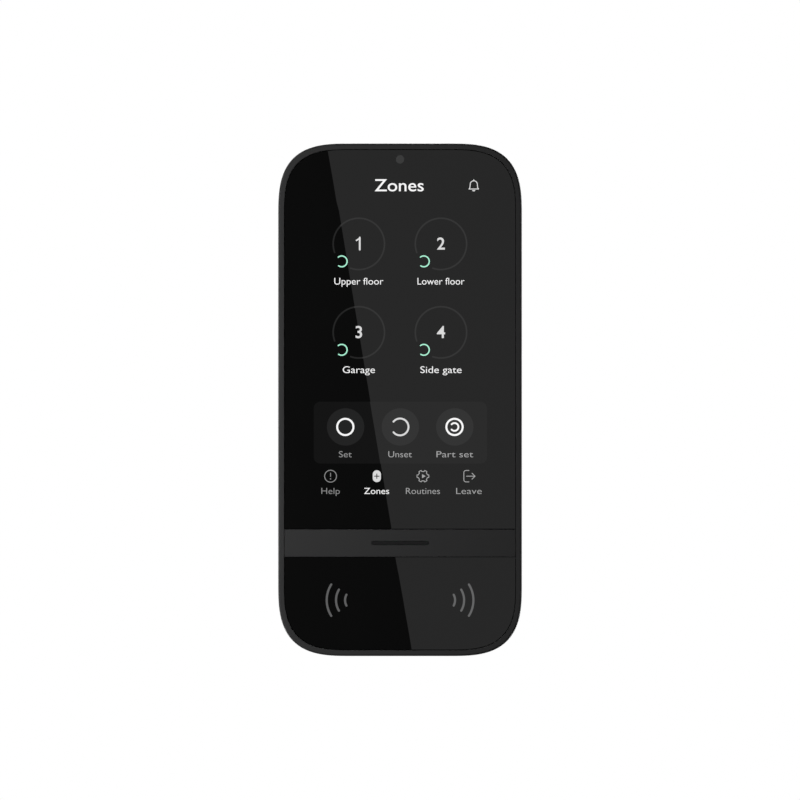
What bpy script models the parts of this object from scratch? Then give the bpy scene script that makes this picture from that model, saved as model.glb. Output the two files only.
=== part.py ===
"""Wall-mounted alarm keypad with a touch display, a tag reader and a slide-on wall bracket.

Metres, +Z up. The wall is the plane y = 0 and the keypad faces -Y, so every place is given as x, z and a
depth, which is the distance in front of the wall. The origin is the centre of the bracket's wall face.
"""

from math import cos, pi, sin, tau

import bmesh
import bpy
from mathutils import Matrix

# Driving dimensions
WIDTH = 0.0810
HEIGHT = 0.1704
DEPTH = 0.0240
CORNER = 0.0240
CORNER_EXPONENT = 3.0
CORNER_STEPS = 10
GAP = 0.0003
TRAVEL = 0.0080

HALF_WIDTH = WIDTH / 2
HALF_HEIGHT = HEIGHT / 2

# Layers, as depths in front of the wall
PANEL_FRONT = 0.0018
RIM = 0.0008
REAR_FACE = 0.0022
REAR_INSIDE = 0.0038
CELL_RADIUS = 0.0085
CELL_AXIS = REAR_INSIDE + CELL_RADIUS
BOARD_BACK = 0.0146
BOARD_FRONT = 0.0158
HOUSING_FRONT = 0.0208
FRAME_BACK = 0.0212
POCKET_FLOOR = 0.0217
SHELF_FRONT = 0.02255
GLASS_BACK = 0.0227
GLASS_FRONT = 0.0238

# Rear housing
WALL = 0.0018
RIM_INSET = 0.0016
SKIRT = 0.0013
RECESS_INSET = RIM_INSET + SKIRT
PARTITION_Z = -0.04035
PARTITION_HALF = 0.00075

# Front windows
SEAT_INSET = 0.00195
GLASS_GAP = 0.00015
STRIP_TOP = -0.0431
STRIP_BOTTOM = -0.0521
DISPLAY_HALF_WIDTH = 0.0328
DISPLAY_TOP = 0.0778
DISPLAY_BOTTOM = -0.0375
READER_HALF_WIDTH = 0.0330
READER_TOP = -0.0545
READER_BOTTOM = -0.0790
READER_CORNER = 0.0115
SENSOR_Z = 0.0799
SENSOR_RADIUS = 0.0014
RIBBON_X = 0.0220
RIBBON_HALF = 0.0040

# Fasteners and posts
CASE_SCREW_X = 0.0352
CASE_SCREW_Z = (0.0600, 0.0120, -0.0360)
CASE_SCREWS = [(x, z) for x in (-CASE_SCREW_X, CASE_SCREW_X) for z in CASE_SCREW_Z]
CASE_SEAT = 0.0147
CASE_POST_END = 0.0167
BOARD_SCREWS = ((0.0265, 0.0685), (-0.0265, 0.0685), (0.0120, -0.0330), (-0.0120, -0.0330))
LUG_SCREW_DEPTH = 0.0054
LUG_BOTTOM = -0.0850
LUG_TOP = -0.0824
LUG_HALF_WIDTH = 0.0090
LUG_FRONT = 0.0088

# Bracket hooks and the slots they hang in
HOOK_X = 0.0260
HOOK_Z = (0.0560, -0.0300)
HOOK_HALF_WIDTH = 0.0045
HOOK_STEM = 0.0025
HOOK_REACH = 0.0050
HOOK_HEAD_BACK = 0.0042
HOOK_HEAD_FRONT = 0.0057

# Supply terminal
TERMINAL_POCKET_HALF = 0.0120
TERMINAL_POCKET_LOW = 0.0040
TERMINAL_POCKET_HIGH = 0.0365
PLUG_LOW = 0.0240
PLUG_HIGH = 0.0320
PLUG_HALF_WIDTH = 0.0055
PLUG_BACK = 0.0055
PLUG_FRONT = 0.0135
POLE_X = 0.0025
POLE_PIN_DEPTH = 0.0118
WIRE_HOLE_DEPTH = 0.0092
CLAMP_RISE = 0.0048

# Tamper contact
TAMPER_X = 0.0220
TAMPER_Z = 0.0220
TAMPER_TIP = 0.0036
TAMPER_TRAVEL = 0.0014
WELL_FLOOR = 0.0041
WELL_HALF = 0.0033

# Battery bay
CELL_LENGTH = 0.0335
CELL_NUB = 0.0010
CELL_X = (-0.02595, -0.00865, 0.00865, 0.02595)
CONTACT_THICKNESS = 0.0004
BAY_BOTTOM = -0.0803
BAY_TOP = PARTITION_Z - PARTITION_HALF - 0.0002
CONTACT_LOW = 0.0083
CONTACT_HIGH = 0.0163
SPRING_LENGTH = 0.0025
DOOR_HALF_WIDTH = 0.0354
DOOR_TOP = -0.0430
DOOR_BOTTOM = -0.0806
DOOR_FRONT = 0.0035
DOOR_CORNER = 0.0185
DOOR_SCREW_X = 0.0173
DOOR_SCREW_Z = -0.0403
EAR_RADIUS = 0.0034
EAR_THICKNESS = 0.0011

for leftover in list(bpy.data.objects):
    bpy.data.objects.remove(leftover, do_unlink=True)

keypad_parts = bpy.data.collections.new("alarm_keypad")
bpy.context.scene.collection.children.link(keypad_parts)


def carrier(name, x=0.0, z=0.0, depth=0.0, parent=None):
    """An empty on a moving body's axis. The body's pieces are its children."""
    empty = bpy.data.objects.new(name, None)
    empty.empty_display_size = 0.005
    empty.parent = parent
    empty.location = (x, -depth, z)
    keypad_parts.objects.link(empty)
    return empty


WALL_BRACKET = carrier("wall_bracket")
KEYPAD = carrier("keypad", parent=WALL_BRACKET)
LOCK_SCREW = carrier("lock_screw", z=LUG_BOTTOM, depth=LUG_SCREW_DEPTH, parent=WALL_BRACKET)
PLUNGER = carrier("plunger", x=TAMPER_X, z=TAMPER_Z, depth=TAMPER_TIP, parent=KEYPAD)
SUPPLY_PLUG = carrier("supply_plug", z=PLUG_LOW, depth=PLUG_BACK, parent=KEYPAD)
CLAMP_SCREWS = {
    side: carrier(f"clamp_screw_{side}", x=x, z=CLAMP_RISE, parent=SUPPLY_PLUG)
    for side, x in (("left", -POLE_X), ("right", POLE_X))
}
bpy.context.view_layer.update()


def finish_of(name, colour, roughness, metallic=0.0):
    """A Principled material."""
    material = bpy.data.materials.new(name)
    material.use_nodes = True
    shader = material.node_tree.nodes["Principled BSDF"]
    shader.inputs["Base Color"].default_value = (*colour, 1.0)
    shader.inputs["Roughness"].default_value = roughness
    shader.inputs["Metallic"].default_value = metallic
    return material


CASE_BLACK = finish_of("case_black", (0.030, 0.030, 0.030), 0.55)
BRACKET_BLACK = finish_of("bracket_black", (0.026, 0.026, 0.027), 0.60)
GLASS_BLACK = finish_of("glass_black", (0.004, 0.004, 0.004), 0.04)
STRIP_GREY = finish_of("strip_grey", (0.034, 0.034, 0.034), 0.50)
DIFFUSER = finish_of("diffuser", (0.35, 0.36, 0.36), 0.35)
LIQUID_CRYSTAL = finish_of("liquid_crystal", (0.006, 0.006, 0.007), 0.15)
STEEL = finish_of("steel", (0.56, 0.56, 0.57), 0.35, 1.0)
SCREW_STEEL = finish_of("screw_steel", (0.42, 0.42, 0.43), 0.32, 1.0)
NICKEL = finish_of("nickel", (0.62, 0.60, 0.55), 0.28, 1.0)
CIRCUIT_GREEN = finish_of("circuit_green", (0.020, 0.095, 0.050), 0.40)
FERRITE = finish_of("ferrite", (0.045, 0.044, 0.046), 0.65)
CONNECTOR_BLACK = finish_of("connector_black", (0.020, 0.020, 0.020), 0.45)
TERMINAL_GREEN = finish_of("terminal_green", (0.040, 0.230, 0.100), 0.45)
RIBBON_AMBER = finish_of("ribbon_amber", (0.400, 0.160, 0.030), 0.35)
CELL_SLEEVE = finish_of("cell_sleeve", (0.080, 0.090, 0.110), 0.30)
LABEL_WHITE = finish_of("label_white", (0.75, 0.75, 0.74), 0.50)


def keep(obj, name, material, body=KEYPAD):
    """Names a finished sub-part, gives it its material, and hangs it on its body's empty where it is."""
    obj.parent = body
    obj.matrix_parent_inverse = body.matrix_world.inverted()
    obj.name = name
    obj.data.name = name
    obj.data.materials.clear()
    obj.data.materials.append(material)
    for holder in list(obj.users_collection):
        holder.objects.unlink(obj)
    keypad_parts.objects.link(obj)
    obj.data.shade_smooth()
    obj.data.set_sharp_from_angle(angle=pi / 6)
    return obj


def in_place(obj):
    """Puts the object's place and turn into its mesh, so that Booleans and modifiers work at true size."""
    obj.data.transform(obj.matrix_basis)
    obj.matrix_basis = Matrix.Identity(4)
    return obj


def mesh_from(curve_object):
    """The closed mesh that a filled or bevelled curve makes, in place of the curve."""
    bpy.context.scene.collection.objects.link(curve_object)
    bpy.context.view_layer.update()
    graph = bpy.context.evaluated_depsgraph_get()
    mesh = bpy.data.meshes.new_from_object(curve_object.evaluated_get(graph))
    shaped = bmesh.new()
    shaped.from_mesh(mesh)
    bmesh.ops.remove_doubles(shaped, verts=shaped.verts, dist=1e-7)
    shaped.to_mesh(mesh)
    shaped.free()
    obj = bpy.data.objects.new(curve_object.name, mesh)
    obj.matrix_world = curve_object.matrix_world
    bpy.context.scene.collection.objects.link(obj)
    bpy.data.objects.remove(curve_object)
    return in_place(obj)


def rounded(half_width, low, high, corner, exponent=CORNER_EXPONENT, steps=CORNER_STEPS):
    """Outline of a rectangle whose corners are quarters of a superellipse. Exponent 2 makes plain arcs."""
    middle = (low + high) / 2
    half_height = (high - low) / 2
    points = []
    for side_x, side_z in ((1, 1), (-1, 1), (-1, -1), (1, -1)):
        for step in range(steps + 1):
            share = step / steps if side_x == side_z else 1 - step / steps
            across = max(cos(share * pi / 2), 0.0) ** (2 / exponent)
            along = max(sin(share * pi / 2), 0.0) ** (2 / exponent)
            x = half_width - corner * (1 - across)
            z = half_height - corner * (1 - along)
            points.append((side_x * x, middle + side_z * z))
    return points


def body_outline(inset):
    """The keypad's outline, drawn in by an inset."""
    return rounded(HALF_WIDTH - inset, inset - HALF_HEIGHT, HALF_HEIGHT - inset, CORNER - inset)


def circle(x, z, radius, steps=16):
    return [(x + radius * cos(tau * i / steps), z + radius * sin(tau * i / steps)) for i in range(steps)]


def slot_outline(x, z, half_length, radius, steps=6):
    """A slot along X with round ends."""
    points = []
    for side in (1, -1):
        for step in range(steps + 1):
            turn = side * (step / steps - 0.5) * pi
            points.append((x + side * (half_length - radius + radius * cos(turn)), z + radius * sin(turn)))
    return points


def shifted(points, x):
    return [(px + x, pz) for px, pz in points]


def ear_outline(x, radius):
    """A battery door ear: a half circle round its screw, with straight sides down into the door."""
    points = [(x + radius * cos(pi * i / 10), DOOR_SCREW_Z + radius * sin(pi * i / 10)) for i in range(11)]
    return points + [(x - radius, DOOR_TOP - 0.0020), (x + radius, DOOR_TOP - 0.0020)]


def plate(outlines, back, front):
    """A flat piece between two depths. Outlines after the first are holes in it."""
    curve = bpy.data.curves.new("plate", "CURVE")
    curve.dimensions = "2D"
    curve.fill_mode = "BOTH"
    curve.extrude = (front - back) / 2
    for points in outlines:
        spline = curve.splines.new("POLY")
        spline.points.add(len(points) - 1)
        for point, (x, z) in zip(spline.points, points):
            point.co = (x, z, 0, 1)
        spline.use_cyclic_u = True
    obj = bpy.data.objects.new("plate", curve)
    obj.rotation_euler.x = pi / 2
    obj.location.y = -(back + front) / 2
    return mesh_from(obj)


def block(x, z, depth):
    """A box from its three ranges."""
    bpy.ops.mesh.primitive_cube_add(size=1)
    obj = bpy.context.object
    obj.scale = (x[1] - x[0], depth[1] - depth[0], z[1] - z[0])
    obj.location = ((x[0] + x[1]) / 2, -(depth[0] + depth[1]) / 2, (z[0] + z[1]) / 2)
    return in_place(obj)


def post(x, z, radius, back, front, sides=16):
    """A round bar that stands out from the wall."""
    bpy.ops.mesh.primitive_cylinder_add(vertices=sides, radius=radius, depth=front - back)
    obj = bpy.context.object
    obj.rotation_euler.x = pi / 2
    obj.location = (x, -(back + front) / 2, z)
    return in_place(obj)


def upright(x, depth, radius, low, high, sides=16):
    """A round bar along Z."""
    bpy.ops.mesh.primitive_cylinder_add(vertices=sides, radius=radius, depth=high - low)
    obj = bpy.context.object
    obj.location = (x, -depth, (low + high) / 2)
    return in_place(obj)


def turned(profile, steps=16):
    """A turned piece about local Z, from (radius, height) points down its outer side."""
    mesh = bpy.data.meshes.new("turned")
    shaped = bmesh.new()
    corners = [shaped.verts.new((radius, 0, height)) for radius, height in profile]
    for upper, lower in zip(corners, corners[1:]):
        shaped.edges.new((upper, lower))
    shaped.to_mesh(mesh)
    shaped.free()
    obj = bpy.data.objects.new("turned", mesh)
    bpy.context.scene.collection.objects.link(obj)
    screw = obj.modifiers.new("turn", "SCREW")
    screw.angle = tau
    screw.steps = screw.render_steps = steps
    screw.use_merge_vertices = True
    screw.merge_threshold = 1e-6
    apply_modifiers(obj)
    return obj


def coil(radius_low, radius_high, low, high, turns, wire, points_per_turn=10):
    """A coil spring about local Z."""
    curve = bpy.data.curves.new("coil", "CURVE")
    curve.dimensions = "3D"
    curve.bevel_depth = wire / 2
    curve.bevel_resolution = 1
    curve.use_fill_caps = True
    spline = curve.splines.new("POLY")
    count = round(turns * points_per_turn)
    spline.points.add(count)
    for i, point in enumerate(spline.points):
        share = i / count
        radius = radius_low + (radius_high - radius_low) * share
        angle = tau * turns * share
        point.co = (radius * cos(angle), radius * sin(angle), low + (high - low) * share, 1)
    return mesh_from(bpy.data.objects.new("coil", curve))


def ribbon(path, x, half_width, thickness):
    """A flat flexible lead along a path of (depth, z) points."""
    curve = bpy.data.curves.new("ribbon", "CURVE")
    curve.dimensions = "2D"
    curve.extrude = half_width
    spline = curve.splines.new("POLY")
    spline.points.add(len(path) - 1)
    for point, (depth, z) in zip(spline.points, path):
        point.co = (-depth, z, 0, 1)
    obj = bpy.data.objects.new("ribbon", curve)
    # Local X, Y and Z go to world Y, Z and X.
    obj.matrix_world = Matrix(((0, 0, 1, x), (1, 0, 0, 0), (0, 1, 0, 0), (0, 0, 0, 1)))
    sheet = mesh_from(obj)
    solidify = sheet.modifiers.new("thickness", "SOLIDIFY")
    solidify.thickness = thickness
    solidify.offset = 0
    apply_modifiers(sheet)
    return sheet


def loft(sections):
    """A closed body through (depth, outline) sections, front to back, with equal point counts."""
    shaped = bmesh.new()
    rings = [[shaped.verts.new((x, -depth, z)) for x, z in points] for depth, points in sections]
    shaped.faces.new(rings[0])
    shaped.faces.new(reversed(rings[-1]))
    for front, back in zip(rings, rings[1:]):
        for i in range(len(front)):
            j = (i + 1) % len(front)
            shaped.faces.new((front[i], back[i], back[j], front[j]))
    bmesh.ops.remove_doubles(shaped, verts=shaped.verts, dist=1e-7)
    bmesh.ops.recalc_face_normals(shaped, faces=shaped.faces)
    mesh = bpy.data.meshes.new("loft")
    shaped.to_mesh(mesh)
    shaped.free()
    obj = bpy.data.objects.new("loft", mesh)
    bpy.context.scene.collection.objects.link(obj)
    return obj


def apply_modifiers(obj):
    bpy.ops.object.select_all(action="DESELECT")
    bpy.context.view_layer.objects.active = obj
    obj.select_set(True)
    for modifier in list(obj.modifiers):
        bpy.ops.object.modifier_apply(modifier=modifier.name)


def boolean(obj, tools, operation):
    for tool in tools:
        modifier = obj.modifiers.new("boolean", "BOOLEAN")
        modifier.operation = operation
        modifier.object = tool
        apply_modifiers(obj)
        bpy.data.objects.remove(tool)
    return obj


def join(obj, *tools):
    return boolean(obj, tools, "UNION")


def cut(obj, *tools):
    return boolean(obj, tools, "DIFFERENCE")


def screw(head_radius, head_height, shank_radius, shank_length, socket_radius, steps=12):
    """A pan-head screw about local Z, its head above z = 0, with a hexagon socket in the head."""
    soften = head_height * 0.3
    body = turned(
        [
            (0, head_height),
            (head_radius - soften, head_height),
            (head_radius, head_height - soften),
            (head_radius, 0),
            (shank_radius, 0),
            (shank_radius, soften - shank_length),
            (shank_radius * 0.6, -shank_length),
            (0, -shank_length),
        ],
        steps,
    )
    bpy.ops.mesh.primitive_cylinder_add(vertices=6, radius=socket_radius, depth=head_height * 1.2)
    socket = bpy.context.object
    socket.location.z = head_height
    in_place(socket)
    return cut(body, socket)


def turn_to_rear(obj, x, z, depth):
    """Stands a piece made about +Z on the plane at that depth, with its top towards the wall."""
    obj.matrix_basis = Matrix.Translation((x, -depth, z)) @ Matrix.Rotation(-pi / 2, 4, "X")
    return in_place(obj)


def turn_to_front(obj, x, z, depth):
    """Stands a piece made about +Z on the plane at that depth, with its top away from the wall."""
    obj.matrix_basis = Matrix.Translation((x, -depth, z)) @ Matrix.Rotation(pi / 2, 4, "X")
    return in_place(obj)


def both_sides(x):
    return (("left", -x), ("right", x))


# Wall bracket

PANEL_HALF_WIDTH = HALF_WIDTH - RECESS_INSET - 0.0008
PANEL_TOP = HALF_HEIGHT - RECESS_INSET - 0.0008
PANEL_BOTTOM = RECESS_INSET + TRAVEL + 0.0008 - HALF_HEIGHT
PANEL_CORNER = CORNER - RECESS_INSET - 0.0008
WALL_SCREW_RADIUS = 0.00195
WINDOW_HALF_WIDTH = 0.0122
WINDOW_LOW = 0.0060
WINDOW_HIGH = 0.0368
PANEL_ROOT = PANEL_FRONT - 0.0008
RELIEF_DEPTH = 0.0007
RELIEFS = (
    (-0.0200, 0.0525, 0.0125, 0.0090),
    (0.0200, 0.0525, 0.0125, 0.0090),
    (-0.0235, 0.0210, 0.0080, 0.0150),
    (-0.0185, -0.0260, 0.0140, 0.0180),
    (0.0185, -0.0260, 0.0140, 0.0180),
)


def hook(x, z):
    """An upward hook: a stem through the housing's slot and a head that lies behind its wall."""
    profile = (
        (z, PANEL_ROOT),
        (z, HOOK_HEAD_FRONT),
        (z + HOOK_STEM + HOOK_REACH, HOOK_HEAD_FRONT),
        (z + HOOK_STEM + HOOK_REACH, HOOK_HEAD_BACK),
        (z + HOOK_STEM, HOOK_HEAD_BACK),
        (z + HOOK_STEM, PANEL_ROOT),
    )
    return prism(profile, x - HOOK_HALF_WIDTH, x + HOOK_HALF_WIDTH)


def lug():
    """The tab that runs down through the housing's lower edge and turns forward for the holding screw."""
    profile = (
        (LUG_BOTTOM, 0),
        (LUG_BOTTOM, LUG_FRONT),
        (LUG_TOP, LUG_FRONT),
        (LUG_TOP, PANEL_FRONT - 0.0002),
        (PANEL_BOTTOM + 0.0030, PANEL_FRONT - 0.0002),
        (PANEL_BOTTOM + 0.0030, 0),
    )
    return prism(profile, -LUG_HALF_WIDTH, LUG_HALF_WIDTH)


def tamper_pad():
    """The wedge that holds the tamper plunger in while the keypad is home, and lets it out as it lifts."""
    slope = TAMPER_TRAVEL / TRAVEL
    top = TAMPER_TIP - GAP
    foot = PANEL_ROOT
    profile = (
        (TAMPER_Z - 0.0030, foot),
        (TAMPER_Z - 0.0030, top),
        (TAMPER_Z, top),
        (TAMPER_Z + 0.0100, top - 0.0100 * slope),
        (TAMPER_Z + 0.0100, foot),
    )
    return prism(profile, TAMPER_X - 0.0025, TAMPER_X + 0.0025)


def prism(profile, left, right):
    """A body of constant section along X, from (z, depth) points."""
    curve = bpy.data.curves.new("prism", "CURVE")
    curve.dimensions = "2D"
    curve.fill_mode = "BOTH"
    curve.extrude = (right - left) / 2
    spline = curve.splines.new("POLY")
    spline.points.add(len(profile) - 1)
    for point, (z, depth) in zip(spline.points, profile):
        point.co = (-depth, z, 0, 1)
    spline.use_cyclic_u = True
    obj = bpy.data.objects.new("prism", curve)
    obj.matrix_world = Matrix(((0, 0, 1, (left + right) / 2), (1, 0, 0, 0), (0, 1, 0, 0), (0, 0, 0, 1)))
    return mesh_from(obj)


def make_mounting_panel():
    """Moulded plate with hooks, screw holes, a cable window, a break-out tamper tongue and a screw lug.

    Its wall face is cored out in shallow fields, which keep the moulding even."""
    holes = [
        rounded(WINDOW_HALF_WIDTH, WINDOW_LOW, WINDOW_HIGH, 0.0020, 2, 3),
        circle(-0.0150, 0.0690, WALL_SCREW_RADIUS),
        circle(0.0150, 0.0690, WALL_SCREW_RADIUS),
        circle(TAMPER_X, TAMPER_Z - 0.0085, WALL_SCREW_RADIUS),
    ]
    panel = plate(
        [rounded(PANEL_HALF_WIDTH, PANEL_BOTTOM, PANEL_TOP, PANEL_CORNER, CORNER_EXPONENT, 8)] + holes,
        0,
        PANEL_FRONT,
    )
    for x in (-0.0225, 0.0225):
        cut(panel, plate([slot_outline(x, -0.0560, 0.0050, WALL_SCREW_RADIUS)], -0.001, 0.003))
    for x, z, half_x, half_z in RELIEFS:
        field = shifted(rounded(half_x, z - half_z, z + half_z, 0.0020, 2, 3), x)
        cut(panel, plate([field], -0.0010, RELIEF_DEPTH))
    # Score slots round the tamper tongue leave four small bridges.
    tongue_x = (TAMPER_X - 0.0062, TAMPER_X + 0.0062)
    for x in tongue_x:
        cut(panel, block((x - 0.0004, x + 0.0004), (TAMPER_Z - 0.0120, TAMPER_Z + 0.0110), (-0.001, 0.003)))
    for z in (TAMPER_Z - 0.0135, TAMPER_Z + 0.0125):
        cut(panel, block((TAMPER_X - 0.0050, TAMPER_X + 0.0050), (z - 0.0004, z + 0.0004), (-0.001, 0.003)))
    join(panel, tamper_pad())
    for x in (-HOOK_X, HOOK_X):
        for z in HOOK_Z:
            join(panel, hook(x, z))
    join(panel, lug())
    cut(
        panel,
        upright(0, LUG_SCREW_DEPTH, 0.0014, LUG_BOTTOM - 0.001, LUG_TOP + 0.001),
        upright(0, LUG_SCREW_DEPTH, 0.0026, LUG_BOTTOM - 0.001, LUG_BOTTOM + 0.0014),
    )
    keep(panel, "mounting_panel", BRACKET_BLACK, WALL_BRACKET)


def make_holding_screw():
    """Locks the keypad on its bracket from below."""
    fastener = screw(0.0022, 0.0012, 0.0011, 0.0085, 0.0011, 16)
    seat = Matrix.Translation((0, -LUG_SCREW_DEPTH, LUG_BOTTOM + 0.0014 - GAP / 2))
    fastener.matrix_basis = seat @ Matrix.Rotation(pi, 4, "X")
    keep(in_place(fastener), "holding_screw", SCREW_STEEL, LOCK_SCREW)


# Casings

HOUSING_SECTIONS = 5
ROOT = 0.0030  # depth inside the rear wall where all that stands on it begins
THIN_WALL = 0.0012
CLEARANCE = 0.0004
OUTSIDE = 0.0010  # depth behind the rear wall, where cutters begin
CASE_POST_RADIUS = 0.0033
BOARD_POST_RADIUS = 0.0022
DOOR_POST_RADIUS = 0.0024
DOOR_POST_END = 0.0078
LUG_SEAT_LOW = -0.0840
LUG_SEAT_HIGH = -0.0807
WELL_LOW = TAMPER_Z - 0.0114
WELL_HIGH = TAMPER_Z + 0.0106
SLIT_COUNT = 4
SLIT_PITCH = 0.0032
SLIT_LOWEST = 0.0345


def housing_inset(depth):
    """The housing draws in towards the wall along a parabola."""
    return RIM_INSET * ((HOUSING_FRONT - depth) / (HOUSING_FRONT - RIM)) ** 2


def housing_rings(extra, back, front):
    """Sections of the housing's tapered side between two depths, drawn in by an extra inset."""
    depths = [front + (back - front) * i / (HOUSING_SECTIONS - 1) for i in range(HOUSING_SECTIONS)]
    return [(depth, body_outline(housing_inset(min(depth, HOUSING_FRONT)) + extra)) for depth in depths]


def housing_tub():
    """The bare tub, with a recess in its back for the bracket."""
    sections = housing_rings(0, RIM + 0.0006, HOUSING_FRONT)
    sections.append((RIM, body_outline(housing_inset(RIM) + 0.0004)))
    cavity = loft(housing_rings(WALL, REAR_INSIDE, HOUSING_FRONT + 0.0010))
    recess = plate([body_outline(RECESS_INSET)], -0.0010, REAR_FACE)
    return cut(loft(sections), cavity, recess)


def add_inner_walls(housing):
    """The bay's partition, the screw posts, and the walls round the supply pocket, tamper well and lug."""
    partition = (PARTITION_Z - PARTITION_HALF, PARTITION_Z + PARTITION_HALF)
    join(housing, block((-0.0385, 0.0385), partition, (ROOT, 0.0195)))
    for x in (-DOOR_SCREW_X, DOOR_SCREW_X):
        join(
            housing,
            post(x, DOOR_SCREW_Z, 0.0044, ROOT, 0.0048),
            post(x, DOOR_SCREW_Z, DOOR_POST_RADIUS, ROOT, DOOR_POST_END),
        )
    for x, z in CASE_SCREWS:
        join(housing, post(x, z, CASE_POST_RADIUS, ROOT, CASE_POST_END))
    for x, z in BOARD_SCREWS:
        join(housing, post(x, z, BOARD_POST_RADIUS, ROOT, BOARD_BACK - GAP, 12))
    pocket = block(
        (-TERMINAL_POCKET_HALF - THIN_WALL, TERMINAL_POCKET_HALF + THIN_WALL),
        (TERMINAL_POCKET_LOW - THIN_WALL, TERMINAL_POCKET_HIGH + THIN_WALL),
        (ROOT, BOARD_BACK - GAP),
    )
    well = block(
        (TAMPER_X - WELL_HALF - THIN_WALL, TAMPER_X + WELL_HALF + THIN_WALL),
        (WELL_LOW - THIN_WALL, WELL_HIGH + THIN_WALL),
        (ROOT, WELL_FLOOR + THIN_WALL),
    )
    lug_seat = block((-0.0108, 0.0108), (LUG_SEAT_LOW, LUG_SEAT_HIGH), (REAR_FACE + 0.0002, 0.0104))
    screw_boss = upright(0, LUG_SCREW_DEPTH, 0.0022, LUG_SEAT_HIGH - 0.0008, -0.0750)
    join(housing, pocket, well, lug_seat, screw_boss)


def cut_rear_openings(housing):
    """The supply pocket, tamper well and plunger hole, the lug's notch, and the battery door's opening."""
    pocket = block(
        (-TERMINAL_POCKET_HALF, TERMINAL_POCKET_HALF),
        (TERMINAL_POCKET_LOW, TERMINAL_POCKET_HIGH),
        (OUTSIDE, BOARD_BACK),
    )
    well = block((TAMPER_X - WELL_HALF, TAMPER_X + WELL_HALF), (WELL_LOW, WELL_HIGH), (OUTSIDE, WELL_FLOOR))
    notch_half = LUG_HALF_WIDTH + GAP
    notch = block((-notch_half, notch_half), (-0.0900, LUG_TOP + GAP), (-0.0010, LUG_FRONT + GAP))
    door = rounded(DOOR_HALF_WIDTH + GAP, DOOR_BOTTOM - GAP, DOOR_TOP + GAP, DOOR_CORNER + GAP, 3, 6)
    cut(
        housing,
        pocket,
        well,
        post(TAMPER_X, TAMPER_Z, 0.0017, OUTSIDE, 0.0070),
        notch,
        upright(0, LUG_SCREW_DEPTH, 0.00135, -0.0830, -0.0740),
        plate([door], OUTSIDE, REAR_INSIDE + 0.0001),
    )
    slot_half = HOOK_HALF_WIDTH + CLEARANCE
    for x in (-HOOK_X, HOOK_X):
        for z in HOOK_Z:
            slot = (z - TRAVEL - CLEARANCE, z + HOOK_STEM + CLEARANCE)
            cut(housing, block((x - slot_half, x + slot_half), slot, (OUTSIDE, 0.0050)))
    for i in range(SLIT_COUNT):
        z = SLIT_LOWEST + SLIT_PITCH * i
        cut(housing, block((-0.0430, -0.0360), (z - 0.0005, z + 0.0005), (0.0080, 0.0150)))


def drill_screw_holes(housing):
    """Pilot holes for the board and door screws, and stepped wells for the case screws."""
    for x in (-DOOR_SCREW_X, DOOR_SCREW_X):
        cut(
            housing,
            post(x, DOOR_SCREW_Z, 0.0009, ROOT, DOOR_POST_END - 0.0004, 12),
            plate([ear_outline(x, EAR_RADIUS + GAP)], OUTSIDE, REAR_FACE + EAR_THICKNESS + GAP),
        )
    for x, z in CASE_SCREWS:
        cut(housing, post(x, z, 0.0024, OUTSIDE, CASE_SEAT), post(x, z, 0.0014, 0.0140, 0.0180, 12))
    for x, z in BOARD_SCREWS:
        cut(housing, post(x, z, 0.00095, 0.0090, 0.0160, 8))


def make_rear_housing():
    """Deep tub: battery bay below, board above, with slots for the bracket's hooks in its rear wall."""
    housing = housing_tub()
    add_inner_walls(housing)
    cut_rear_openings(housing)
    drill_screw_holes(housing)
    keep(housing, "rear_housing", CASE_BLACK)


LIP_BACK = 0.0198
OPEN_FRONT = 0.0260  # depth past the front, where cutters end


def make_front_frame():
    """Bezel round the glass, with the shelf, pockets and windows that carry everything at the front."""
    frame = loft(
        [
            (DEPTH, body_outline(0.00075)),
            (DEPTH - 0.00012, body_outline(0.00035)),
            (DEPTH - 0.0004, body_outline(0.0001)),
            (DEPTH - 0.0008, body_outline(0)),
            (FRAME_BACK, body_outline(0)),
        ]
    )
    lip = plate([body_outline(WALL + GAP), body_outline(WALL + GAP + 0.0010)], LIP_BACK, FRAME_BACK + 0.0004)
    join(frame, lip)
    for x, z in CASE_SCREWS:
        join(frame, post(x, z, 0.0028, CASE_POST_END + GAP, FRAME_BACK + 0.0003))
    half = RIBBON_HALF + CLEARANCE
    ribbon_x = (RIBBON_X - half, RIBBON_X + half)
    display = rounded(DISPLAY_HALF_WIDTH + GAP, DISPLAY_BOTTOM - GAP, DISPLAY_TOP + GAP, 0.0020, 2, 3)
    reader = rounded(READER_HALF_WIDTH + GAP, READER_BOTTOM - GAP, READER_TOP + GAP, READER_CORNER, 3, 5)
    indicator = rounded(0.0345, -0.0516, -0.0436, 0.0010, 2, 2)
    cut(
        frame,
        plate([body_outline(SEAT_INSET)], SHELF_FRONT, OPEN_FRONT),
        plate([display], 0.0180, OPEN_FRONT),
        plate([reader], POCKET_FLOOR, OPEN_FRONT),
        plate([indicator], POCKET_FLOOR, OPEN_FRONT),
        block(ribbon_x, (-0.0565, -0.0370), (POCKET_FLOOR, 0.0230)),
        block(ribbon_x, (-0.0420, -0.0370), (0.0205, 0.0230)),
        post(0, SENSOR_Z, SENSOR_RADIUS + GAP, 0.0200, 0.0240),
    )
    for x, z in CASE_SCREWS:
        cut(frame, post(x, z, 0.00115, 0.0160, 0.0220, 12))
    keep(frame, "front_frame", CASE_BLACK)


# Front faces


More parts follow.
